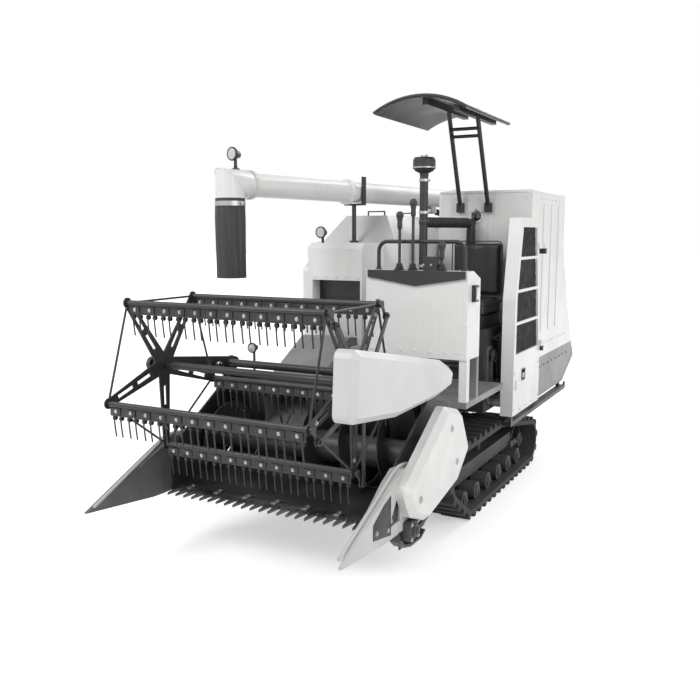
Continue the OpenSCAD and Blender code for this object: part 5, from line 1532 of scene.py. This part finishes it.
@dataclass
class Canopy(SubAssembly):
    """The roof's underside painted dark as shade, its beaded edge and bolts."""

    width: float = 0.66
    rise: float = 0.09
    thick: float = 0.02
    centre: Pair = (0.225, 0.32)
    length: float = 0.96
    top: float = 2.77
    steps: int = 22

    def arc(self, drop: float, trim: float) -> list[Pair]:
        """Points across the roof.

        Args:
            drop: Depth under the upper face.
            trim: Distance left at each edge.

        Returns:
            Places across the machine and up.
        """
        radius = ((self.width / 2) ** 2 + self.rise ** 2) / (2 * self.rise)
        reach = self.width / 2 - trim
        spots = []
        for i in range(self.steps + 1):
            x = reach * (2 * i / self.steps - 1)
            spots.append((self.centre[0] + x, self.top - radius + sqrt((radius - drop) ** 2 - x * x)))
        return spots

    def build(self) -> None:
        """Adds the dark sheet of painted shade under the roof, the beading and the bolts."""
        y0, y1 = self.centre[1] - self.length / 2, self.centre[1] + self.length / 2
        # Painted shade: a dark sheet just under the roof's lower face stands in for the shade beneath the canopy.
        upper, lower = self.arc(self.thick + 0.0006, 0.004), self.arc(self.thick + 0.004, 0.004)
        outline = [(x, y0 + 0.006, z) for x, z in upper] + [(x, y0 + 0.006, z) for x, z in reversed(lower)]
        self.fit(Bench.plate("canopy_underside_shade", outline, (0, self.length - 0.012, 0)), DARK)
        mid = self.arc(self.thick / 2, 0.0)
        loop = [(x, y0, z) for x, z in mid] + [(x, y1, z) for x, z in reversed(mid)]
        self.fit(Bench.tube("canopy_bead", loop, 0.0105, 10, closed=True, smooth=False), PLASTIC, smooth=60.0)
        self.painted("canopy_bolts", "canopy_roof", Face.DOWN, 0.008,
                     [(x, y, 3.5) for x in (0.02, 0.43) for y in (0.0, 0.22, 0.44, 0.66)])


@dataclass
class Intake(SubAssembly):
    """The air stack's corrugated hose, clamps and dust bowl."""

    stack: Pair = (0.15, 0.13)
    hose_end: Pair = (0.34, 0.605)
    bend_z: float = 1.93
    foot: float = 1.18
    radius: float = 0.032
    bowl_z: float = 2.258
    pitch: float = 0.021
    bowl_lip: Rings = ((0.048, 0.081), (0.05, 0.0835), (0.058, 0.0835), (0.06, 0.081), (0.062, 0.079))
    bowl_nut_rings: Rings = ((0.124, 0.03), (0.128, 0.03), (0.131, 0.022), (0.131, 0.012), (0.144, 0.01))
    bowl_wings_box: Box = ((-0.026, -0.003, 0.132), (0.026, 0.003, 0.147), 0.002)

    def build(self) -> None:
        """Adds the rings, clamps and the bowl's bands."""
        a, b = Vector((*self.stack, self.bend_z)), Vector((*self.hose_end, self.bend_z))
        run = b - a
        turn = run.to_track_quat("Z", "Y").to_matrix().to_4x4()
        spots = [move(a + run * (i * self.pitch / run.length)) @ turn
                 for i in range(2, int(run.length / self.pitch) - 1)]
        spots += [move((*self.hose_end, self.foot + 0.08 + i * self.pitch))
                  for i in range(int((self.bend_z - self.foot - 0.1) / self.pitch))]
        ring = Bench.ring("hose_ring", self.radius + 0.0005, 0.0058, 20)
        self.many("hose_rings", ring, spots, CHUTE, smooth=60.0)
        band = Bench.band("hose_clamp", self.radius + 0.001, 0.003, 0.009, 24)
        screw = Bench.block("clamp_screw", (self.radius, -0.014, -0.007), (self.radius + 0.012, 0.014, 0.007), 0.002)
        model = Bench.join("clamp", [band, screw])
        places = [move((*self.stack, z)) for z in (1.215, 1.62, 2.0, 2.225)] + [move((*self.hose_end, 1.215))]
        self.many("hose_clamps", model, places, STEEL)
        band = Bench.turned("bowl_band", self.bowl_lip, 32)
        self.fit(Bench.settle(band, Bench.at((*self.stack, self.bowl_z))), STEEL)
        nut = Bench.turned("bowl_nut", self.bowl_nut_rings, 20)
        wings = Bench.block("bowl_wings", *self.bowl_wings_box)
        self.fit(Bench.settle(Bench.join("bowl_nut", [nut, wings]), Bench.at((*self.stack, self.bowl_z))), STEEL)


@dataclass
class Tracks(SubAssembly):
    """Hub caps and bolts on the track rollers, sprockets and idlers."""

    rollers: tuple[float, ...] = (-0.43, -0.188, 0.054, 0.296, 0.538, 0.78)
    roller_z: float = 0.12
    sprocket: Pair = (-0.64, 0.345)
    idler: Pair = (1.0, 0.195)
    hub_cap_rings: Rings = ((-0.002, 0.034), (0.007, 0.034), (0.012, 0.028), (0.013, 0.016), (0.019, 0.014),
                            (0.02, 0.008))
    drive_cap_rings: Rings = ((-0.002, 0.06), (0.01, 0.06), (0.016, 0.052), (0.017, 0.03), (0.026, 0.027),
                              (0.027, 0.014))

    def build(self) -> None:
        """Caps every wheel on both sides of the machine."""
        for side, tag in ((1, "left"), (-1, "right")):
            node = f"undercarriage_{tag}"
            way = Face.LEFT if side > 0 else Face.RIGHT
            cap = Bench.turned("hub_cap", self.hub_cap_rings, 22)
            starts = [(side * 2.0, y, self.roller_z) for y in self.rollers]
            self.many(f"roller_caps_{tag}", cap, Bench.onto(node, starts, way), CASTING)
            cap = Bench.turned("drive_cap", self.drive_cap_rings, 28)
            starts = [(side * 2.0, *self.sprocket), (side * 2.0, *self.idler)]
            self.many(f"wheel_caps_{tag}", cap, Bench.onto(node, starts, way), CASTING)
            starts = []
            for y, z in (self.sprocket, self.idler):
                starts += [(side * 2.0, y + 0.082 * cos(a), z + 0.082 * sin(a))
                           for a in [radians(60 * i) for i in range(6)]]
            self.bolts(f"wheel_bolts_{tag}", Bench.onto(node, starts, way), 0.01)


@dataclass
class Boom(SubAssembly):
    """The unloading tube: welded pipe with flanges, mitred elbow, cylinder cheeks and a pleated chute."""

    column: Pair = (-0.12, 1.75)
    yaw: float = -8.8
    tube_z: float = 2.15
    tube_r: float = 0.075
    length: float = 2.975
    flanges: tuple[float, ...] = (0.06, 0.6, 0.94)
    flange: float = 0.016
    flange_t: float = 0.022
    root: Triple = (0.084, 0.09, 0.0203)
    eye: Pair = (-0.6, 2.045)
    eye_r: float = 0.028
    cheek: Pair = (0.02, 0.014)
    elbow_r: float = 0.089
    chute: Triple = (0.091, 1.578, 2.062)
    pleats: int = 11
    lamp: Spot = (0, -2.9535, 2.329)
    eye_pin_rings: Rings = ((-0.04, 0.013), (-0.04, 0.0175), (-0.035, 0.0175), (-0.035, 0.0138), (0.035, 0.0138),
                            (0.035, 0.0175), (0.04, 0.0175), (0.04, 0.013))

    def frame(self) -> Matrix:
        """Place of the boom's own frame, with the tube along -Y."""
        return move((*self.column, 0)) @ Matrix.Rotation(radians(self.yaw), 4, "Z")

    def build(self) -> None:
        """Makes the pipe and its chute, then the fittings along them."""
        here = self.frame()
        pipe = self.fit(Bench.settle(self.pipe(), here), WHITE)
        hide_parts("auger_tube")
        chute = self.fit(Bench.settle(self.sleeve(), here), CHUTE, smooth=70.0)
        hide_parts("auger_chute")
        self.fittings(here)

    def pipe(self) -> Piece:
        """The pipe with its flanges, root barrel, elbow and cheeks, in the boom's frame.

        Returns:
            The pipe.
        """
        radius, half, bore = self.root
        pipe, thick = self.tube_r, self.flange_t
        out = pipe + self.flange
        rings = [(radius / 2, pipe)]
        for y in [share * self.length for share in self.flanges]:
            rings += [(y - 0.004, pipe), (y, pipe + 0.003), (y, out - 0.002), (y + 0.002, out),
                      (y + thick / 2 - 0.001, out), (y + thick / 2, out - 0.003), (y + thick / 2 + 0.001, out),
                      (y + thick - 0.002, out), (y + thick, out - 0.002), (y + thick, pipe + 0.003),
                      (y + thick + 0.004, pipe)]
        rings.append((self.length - 0.16, pipe))
        parts = [Bench.settle(Bench.turned("pipe", rings, 40), Bench.at((0, 0, self.tube_z), Face.FRONT))]
        parts += self.elbow(-self.length)
        barrel = [(-half, bore), (-half, radius - 0.004), (-half + 0.004, radius), (half - 0.004, radius),
                  (half, radius - 0.004), (half, bore), (-half, bore)]
        parts.append(Bench.settle(Bench.bored(Bench.turned("root", barrel, 40), 40),
                                  Bench.at((0, 0, self.tube_z), Face.RIGHT)))
        inner, thick = self.cheek
        y, z = self.eye
        outline = [(y + self.eye_r * cos(a), z + self.eye_r * sin(a))
                   for a in [radians(180 + 15 * i) for i in range(13)]]
        outline += [(y + self.eye_r, self.tube_z - self.tube_r / 2), (y - self.eye_r, self.tube_z - self.tube_r / 2)]
        for side in (-1, 1):
            parts.append(Bench.plate("cheek", [(side * inner, a, b) for a, b in outline], (side * thick, 0, 0), 0.001))
        pin = Bench.turned("eye_pin", self.eye_pin_rings, 20)
        parts.append(Bench.settle(pin, Bench.at((0, y, z), Face.RIGHT)))
        return Bench.join("unloading_pipe", parts)

    def elbow(self, reach: float) -> list[Piece]:
        """The mitred elbow at the pipe's end, its cone and its weld.

        Args:
            reach: The elbow's place along the boom's frame.

        Returns:
            The elbow and the weld.
        """
        bend = Bench.turned("elbow", [(0, self.tube_r), (1, self.elbow_r), (2, self.elbow_r), (3, self.elbow_r)], 40)
        weld = []
        for vertex in bend.data.vertices:
            u, v, step = vertex.co
            mitre = (u, reach - v, self.tube_z + v)
            if round(step) == 2:
                weld.append((atan2(v, u), mitre))
            vertex.co = ((u, reach + 0.16, self.tube_z + v), (u, reach + 0.125, self.tube_z + v), mitre,
                         (u, reach - v, self.tube_z - 0.13))[round(step)]
        Bench.outward(bend)
        return [bend, Bench.tube("elbow_weld", [spot for _, spot in sorted(weld)], 0.0035, 8, closed=True,
                                 smooth=False)]

    def sleeve(self) -> Piece:
        """The pleated rubber chute under the elbow, in the boom's frame.

        Returns:
            The chute.
        """
        radius, low, high = self.chute
        steps = 24
        side = [(low + (high - low) * i / steps, radius) for i in range(steps + 1)]
        rings = [(low, radius - 0.006), *side, (high, radius - 0.006)]
        skin = Bench.settle(Bench.turned("unloading_chute", rings, 88), move((0, -self.length, 0)))
        for vertex in skin.data.vertices:
            x, y = vertex.co.x, vertex.co.y + self.length
            reach = hypot(x, y)
            if reach < 0.02:
                continue
            share = (high - vertex.co.z) / (high - low)
            turn = atan2(y, x)
            fold = cos(self.pleats * turn + 1.2 * sin(3 * turn) + 0.8 * sin(4 * share))
            grow = 1 + min(1.0, 4 * share) * (0.035 * fold + 0.02 * sin(2 * turn + 3 * share))
            vertex.co.x, vertex.co.y = x * grow, y * grow - self.length
        return skin

    def fittings(self, here: Matrix) -> None:
        """Flange bolts, the chute's clamp and the lamp's foot.

        Args:
            here: Place of the boom's frame.
        """
        spots = []
        reach = self.tube_r + self.flange / 2 + 0.001
        for share in self.flanges:
            y = -share * self.length
            for a in [radians(45 * i + 22.5) for i in range(8)]:
                x, z = reach * cos(a), self.tube_z + reach * sin(a)
                spots += [here @ Bench.at((x, y, z), Face.REAR), here @ Bench.at((x, y - self.flange_t, z), Face.FRONT)]
        self.bolts("tube_bolts", spots, 0.0052, finish=WHITE)
        radius, _, high = self.chute
        end = here @ move((0, -self.length, 0))
        band = Bench.band("chute_clamp", radius, 0.003, 0.014, 44)
        ears = Bench.block("clamp_ears", (radius, -0.012, -0.01), (radius + 0.022, 0.012, 0.01), 0.003)
        clamp = Bench.join("chute_clamp", [band, ears])
        self.fit(Bench.settle(clamp, end @ move((0, 0, high - 0.032))), STEEL)
        top = self.tube_z + self.elbow_r
        foot = Bench.turned("lamp_foot", [(top - 0.006, 0.025), (top + 0.003, 0.025), (top + 0.005, 0.023),
                                          (top + 0.005, 0.012), (2.2595, 0.012)], 20)
        self.fit(Bench.settle(foot, end @ move((0, 0.0515, 0))), DARK)


@dataclass
class Panels(SubAssembly):
    """Pressed hatches, louvres, beads and lamps on the machine's far sides."""

    louvre_pitch: float = 0.03
    fan_r: float = 0.115
    fan_rings: tuple[float, ...] = (0.03, 0.055, 0.08, 0.105)
    leaf_box: Box = ((-0.026, -0.02, 0.006), (0.026, 0.016, 0.013), 0.002)
    knuckle_line: Line = ((-0.028, -0.02, 0.012), (0.028, -0.02, 0.012))
    lock_rings: Rings = ((0.006, 0.015), (0.012, 0.015), (0.014, 0.012), (0.014, 0.006), (0.02, 0.005))
    lock_bar_box: Box = ((-0.02, -0.0035, 0.014), (0.02, 0.0035, 0.021), 0.0015)
    lens_box: Box = ((-0.026, -0.044, 0.016), (0.026, 0.044, 0.024), 0.004, 3)
    louvre: Outline = ((0.01, 0.001), (-0.01, 0.001), (-0.012, 0.013), (-0.009, 0.014), (0.006, 0.004))
    fan_flange: Rings = ((-0.003, 0.03), (0.006, 0.03), (0.009, 0.026), (0.009, 0.004), (0.006, 0))

    def build(self) -> None:
        """Adds the fittings side by side."""
        self.hatch("guard_hatch", Bench.meet("thresher_side", (-2.0, 0.62, 1.1), Face.RIGHT), 0.46, 0.36)
        self.louvres("guard_louvres", Bench.meet("thresher_side", (-2.0, 1.36, 1.24), Face.RIGHT), 0.36, 8)
        self.fan_inlet(Bench.meet("thresher_side", (-2.0, 1.3, 0.92), Face.RIGHT))
        self.hatch("hood_hatch", Bench.meet("straw_hood", (-0.35, 4.0, 1.28), Face.FRONT), 0.46, 0.18)
        self.hatch("tank_hatch", Bench.meet("grain_tank", (0.425, 4.0, 1.2), Face.FRONT), 0.34, 0.28)
        self.hatch("thresher_hatch", Bench.meet("thresher_body", (-0.35, 4.0, 1.64), Face.FRONT), 0.4, 0.14)
        self.beads("tank_rear_beads", "grain_tank",
                   [[(x, 4.0, 2.06 - 0.09 * i) for i in range(12)] for x in (0.16, 0.69)], Face.FRONT)
        self.beads("tank_inner_beads", "thresher_body",
                   [[(2.0, y, 0.95 + 0.2 * i) for i in range(4)] for y in (0.2, 0.42)], Face.LEFT)
        for x, tag in ((-0.66, "right"), (-0.04, "left")):
            self.tail_lamp(f"tail_lamp_{tag}", Bench.meet("thresher_body", (x, 4.0, 1.6), Face.FRONT))
        self.seam_bolts()

    def hatch(self, name: str, place: Matrix, width: float, height: float) -> None:
        """A pressed lid with two hinges and a turn-lock.

        Args:
            name: The hatch's name.
            place: Its middle, with +Z out of the panel and +Y up it.
            width: Its width.
            height: Its height.
        """
        lid = Bench.block(name, (-width / 2, -height / 2, -0.003), (width / 2, height / 2, 0.01), 0.004)
        Bench.press(lid, Face.UP, 0.004, [(0.024, 0), (0.008, 0.006)])
        self.fit(Bench.settle(lid, place), WHITE)
        leaf = Bench.block("leaf", *self.leaf_box)
        knuckle = Bench.tube("knuckle", self.knuckle_line, 0.007, 12, smooth=False)
        hinge = Bench.join("hinge", [leaf, knuckle])
        spots = [place @ move((s * 0.32 * width, -height / 2 + 0.006, 0)) for s in (-1, 1)]
        self.many(name + "_hinges", hinge, spots, STEEL)
        lock = Bench.turned("lock", self.lock_rings, 20)
        bar = Bench.block("lock_bar", *self.lock_bar_box)
        lock = Bench.join(name + "_lock", [lock, bar])
        self.fit(Bench.settle(lock, place @ move((0, height / 2 - 0.014, 0))), STEEL)

    def louvres(self, name: str, place: Matrix, width: float, rows: int) -> None:
        """Rows of pressed vent louvres over a dark sheet of painted shade.

        Args:
            name: The louvres' name.
            place: Their middle.
            width: Width of a louvre.
            rows: How many there are.
        """
        pitch = self.louvre_pitch
        tall = pitch * rows / 2 + 0.006
        # Painted shade: a dark sheet behind the louvres stands in for the shade inside the vent openings.
        back = Bench.block(name + "_back", (-width / 2 - 0.006, -tall, -0.002), (width / 2 + 0.006, tall, 0.0015),
                           0.001, 1)
        self.fit(Bench.settle(back, place), DARK)
        model = Bench.plate("louvre", [(-width / 2, *s) for s in self.louvre], (width, 0, 0), 0.001)
        spots = [place @ move((0, pitch * (i - (rows - 1) / 2), 0)) for i in range(rows)]
        self.many(name, model, spots, WHITE)

    def fan_inlet(self, place: Matrix) -> None:
        """The winnowing fan's round inlet: flange, a dark disc of painted shade across its mouth, and wire guard.

        Args:
            place: Its middle.
        """
        radius = self.fan_r
        flange = Bench.turned("fan_flange", [(h, radius + r) for h, r in self.fan_flange], 40)
        self.fit(Bench.settle(flange, place), WHITE)
        # Painted shade: a closed dark disc fills the inlet and stands in for the shade inside the fan housing.
        mouth = Bench.turned("fan_mouth_shade", [(0.002, radius), (0.008, radius), (0.0085, radius - 0.004)], 40)
        self.fit(Bench.settle(mouth, place), DARK)
        parts = []
        for r in self.fan_rings:
            parts.append(Bench.settle(Bench.ring("fan_ring", r, 0.0028, 32), move((0, 0, 0.014))))
        for a in (0, 60, 120):
            end = Vector((cos(radians(a)), sin(radians(a)), 0)) * (radius + 0.008)
            parts.append(Bench.tube("fan_bar", [(-end.x, -end.y, 0.011), (end.x, end.y, 0.011)], 0.0032, 8,
                                    smooth=False))
        self.fit(Bench.settle(Bench.join("fan_guard", parts), place), DARK, smooth=60.0)

    def beads(self, name: str, node: str, lines: Sequence[Sequence[Spot]], way: Face) -> None:
        """Pressed stiffening beads that follow a panel.

        Args:
            name: The beads' name.
            node: The panel's solid.
            lines: Starts of the lines that find each bead's points.
            way: The way that those lines go.
        """
        made = []
        for starts in lines:
            path = [place.translation - place.to_3x3() @ Vector((0, 0, 0.006))
                    for place in Bench.onto(node, starts, way)]
            if len(path) > 1:
                made.append(Bench.tube("bead", path, 0.011, 12, smooth=False))
        self.fit(Bench.join(name, made), WHITE, smooth=60.0)

    def tail_lamp(self, name: str, place: Matrix) -> None:
        """A small lamp with a housing and a ribbed lens.

        Args:
            name: The lamp's name.
            place: Its middle.
        """
        house = Bench.block(name + "_house", (-0.034, -0.052, -0.002), (0.034, 0.052, 0.02), 0.006, 3)
        self.fit(Bench.settle(house, place), PLASTIC)
        ribs = [Bench.block("lens", *self.lens_box)]
        ribs += [Bench.tube("rib", [(-0.024, y, 0.024), (0.024, y, 0.024)], 0.0016, 6, smooth=False)
                 for y in (-0.03, -0.015, 0, 0.015, 0.03)]
        self.fit(Bench.settle(Bench.join(name, ribs), place), LENS)

    def seam_bolts(self) -> None:
        """Bolts along the bare edges of the rear, the far side and the lower panel."""
        self.painted("tank_rear_bolts", "grain_tank", Face.FRONT, 0.007,
                     [(0.11 + 0.0925 * i, 4.0, z) for z in (2.115, 0.94) for i in range(8)])
        self.painted("thresher_rear_bolts", "thresher_body", Face.FRONT, 0.007,
                     [(-0.68 + 0.105 * i, 4.0, 1.735) for i in range(7)])
        starts = [(3.0, 0.9 + 0.13 * i, 0.8) for i in range(9)]
        self.bolts("panel_bolts", Bench.onto("side_panel", starts, Face.LEFT), 0.008, finish=GREY)
        self.painted("thresher_side_bolts", "thresher_body", Face.RIGHT, 0.008,
                     [(-2.0, y, 1.68) for y in (0.12, 0.42, 0.72, 1.02, 1.32, 1.62, 1.92)])
        self.painted("thresher_roof_bolts", "thresher_body", Face.DOWN, 0.008,
                     [(x, y, 4.0) for x in (-0.7, 0.0) for y in (0.1, 0.5, 0.9, 1.3, 2.0)])


@dataclass
class Engine(SubAssembly):
    """The engine's service side behind the door: radiator, belt drive, filter, hoses and covers."""

    face: float = 0.65
    nose: float = 0.06
    core: tuple[float, float, float, float] = (0.315, 0.61, 0.76, 1.08)
    fin_pitch: float = 0.011
    fin_t: float = 0.003
    crank: Triple = (0.19, 0.76, 0.07)
    charger: Triple = (0.15, 1.0, 0.042)
    belt_x: float = 0.038
    can: Rings = ((-0.003, 0.03), (0.006, 0.03), (0.008, 0.036), (0.06, 0.036), (0.066, 0.033), (0.068, 0.028),
                  (0.068, 0.012))
    timing: Outline = ((0.085, 0.69), (0.15, 0.64), (0.205, 0.64), (0.212, 0.86), (0.205, 1.04), (0.18, 1.07),
                       (0.11, 1.07), (0.085, 1.03))
    cap_rings: Rings = ((-0.004, 0.014), (0.008, 0.014), (0.008, 0.021), (0.01, 0.0225), (0.018, 0.0225), (0.02, 0.021),
                        (0.021, 0.01))
    hose_run: Outline = ((0.022, 0.006), (0.022, 0.036), (0.014, 0.056), (-0.008, 0.064))

    def build(self) -> None:
        """Builds the radiator, the belt drive, the filter with its hoses, and the covers."""
        self.radiator()
        self.drive()
        self.hoses()
        self.covers()

    def radiator(self) -> None:
        """The radiator's core between its tanks, with the filler cap."""
        x = self.face
        front, back, low, high = self.core
        fin = Bench.block("fin", (x + 0.004, front, low), (x + 0.034, back, low + self.fin_t), 0.0008, 1)
        count = int((high - low) / self.fin_pitch) + 1
        fins = Bench.copies("fins", fin, [move((0, 0, self.fin_pitch * i)) for i in range(count)])
        tube = Bench.block("water_tube", (x + 0.008, front + 0.008, low), (x + 0.03, front + 0.012, high), 0.001, 1)
        tubes = Bench.copies("water_tubes", tube, [move((0, 0.028 * i, 0)) for i in range(10)])
        self.fit(Bench.join("radiator_core", [fins, tubes]), CASTING, slot=Slot.IRON)
        frames = [Bench.block("header_tank", (x - 0.002, front - 0.012, z0), (x + 0.046, back + 0.012, z1), 0.012, 3)
                  for z0, z1 in ((high, high + 0.062), (low - 0.05, low))]
        frames += [Bench.block("side_rail", (x - 0.002, y - 0.006, low - 0.01), (x + 0.04, y + 0.006, high + 0.01),
                               0.002) for y in (front - 0.006, back + 0.006)]
        cap = Bench.turned("cap", self.cap_rings, 24)
        frames.append(Bench.settle(cap, Bench.at((x + 0.022, 0.75 * back + 0.25 * front, high + 0.062))))
        self.fit(Bench.join("radiator_frame", frames), DARK)

    def drive(self) -> None:
        """The crank and charger pulleys with their belt."""
        x = self.face
        wheels = []
        for y, z, r in (self.crank, self.charger):
            rings = [(-0.004, 0.6 * r), (0.024, 0.6 * r), (0.024, r - 0.002), (0.026, r), (0.031, r),
                     (0.038, r - 0.009), (0.045, r), (0.05, r), (0.052, r - 0.002), (0.052, 0.78 * r),
                     (0.044, 0.74 * r), (0.044, 0.32 * r), (0.056, 0.3 * r), (0.058, 0.22 * r)]
            wheels.append(Bench.settle(Bench.turned("pulley", rings, 36), Bench.at((x, y, z), Face.RIGHT)))
        self.fit(Bench.join("engine_pulleys", wheels), DARK)
        (y1, z1, r1), (y2, z2, r2) = self.crank, self.charger
        lean = atan2(z2 - z1, y2 - y1)
        gape = acos((r1 - r2) / hypot(y2 - y1, z2 - z1))
        loop = []
        for y, z, r, start, sweep in ((y1, z1, r1, lean + gape, 2 * (pi - gape)), (y2, z2, r2, lean - gape, 2 * gape)):
            for a in [start + sweep * i / 16 for i in range(17)]:
                loop.append((x + self.belt_x, y + (r - 0.002) * cos(a), z + (r - 0.002) * sin(a)))
        self.fit(Bench.tube("engine_belt", loop, 0.006, 8, closed=True, smooth=False), CHUTE)

    def hoses(self) -> None:
        """The oil filter and the two water hoses with their clamps."""
        x = self.face
        self.fit(Bench.settle(Bench.turned("oil_filter", self.can, 28), Bench.at((x, 0.262, 0.648), Face.RIGHT)), LIGHT_GREY_AND_SHADE)
        front, _, low, high = self.core
        runs, bands = [], []
        for z, r in ((high + 0.031, 0.017), (low - 0.026, 0.014)):
            runs.append(Bench.tube("hose", [(x + a, front - b, z) for a, b in self.hose_run], r, 14))
            band = Bench.band("band", r, 0.003, 0.005, 20)
            bands.append(Bench.settle(band, Bench.at((x + 0.022, front - 0.026, z), Face.FRONT)))
        self.fit(Bench.join("water_hoses", runs), CHUTE)
        self.fit(Bench.join("hose_bands", bands), STEEL)

    def covers(self) -> None:
        """The timing cover, the louvred lid facing the floor, and their bolts."""
        x, y = self.face, self.nose
        timing = Bench.plate("timing_cover", [(x - 0.001, a, b) for a, b in self.timing], (0.013, 0, 0), 0.003)
        self.fit(timing, SLATE_AND_SHADE)
        middle = [sum(axis) / len(self.timing) for axis in zip(*self.timing)]
        inset = [[m + 0.9 * (v - m) for v, m in zip(spot, middle)] for spot in self.timing]
        spots = [Bench.at((x + 0.012, a, b), Face.RIGHT) for a, b in inset]
        front, back, low, high = self.core
        spots += [Bench.at((x + 0.046, front + (back - front) * i / 4, z), Face.RIGHT) for i in range(5)
                  for z in (high + 0.014, low - 0.014)]
        lid = Bench.block("lid", (0.18, y - 0.008, 0.89), (0.58, y + 0.002, 1.13), 0.003)
        slat = Bench.plate("slat", [(0.24, y - 0.008, 0.93), (0.52, y - 0.008, 0.93), (0.52, y - 0.018, 0.918),
                                    (0.24, y - 0.018, 0.918)], (0, 0.001, 0.002), 0.0005)
        slats = Bench.copies("slats", slat, [move((0, 0, 0.032 * i)) for i in range(6)])
        self.fit(Bench.join("engine_lid", [lid, slats]), DARK)
        spots += [Bench.at((a, y - 0.008, b), Face.FRONT) for a in (0.2, 0.56) for b in (0.91, 1.11)]
        self.bolts("engine_bolts", spots, 0.006)


def main() -> None:
    """Builds the studio and every sub-assembly in order."""
    logging.basicConfig(level=logging.INFO, format="%(name)s: %(message)s")
    Studio().build()
    Solids().dress()
    boom = Boom("auger_boom")
    boom_lamp = tuple(boom.frame() @ Vector(boom.lamp))
    pieces: list[SubAssembly] = [
        OperatorSeat("chassis"), Lamp("chassis", "thresher_lamp", (-0.45, -0.305, 1.859), 0.04),
        EngineDoor("engine_door"), Engine("chassis"), Reel("reel"), Header("header"), Thresher("chassis"),
        Tank("chassis"), Station("chassis"), Canopy("chassis"), Intake("chassis"), Tracks("chassis"), boom,
        Panels("chassis"),
        Lamp("header", "header_lamp", (-0.545, -1.032, 1.122), 0.032),
        Lamp("auger_boom", "boom_lamp", boom_lamp, 0.04, boom.yaw),
    ]
    for piece in pieces:
        piece.build()


if __name__ == "__main__":
    main()
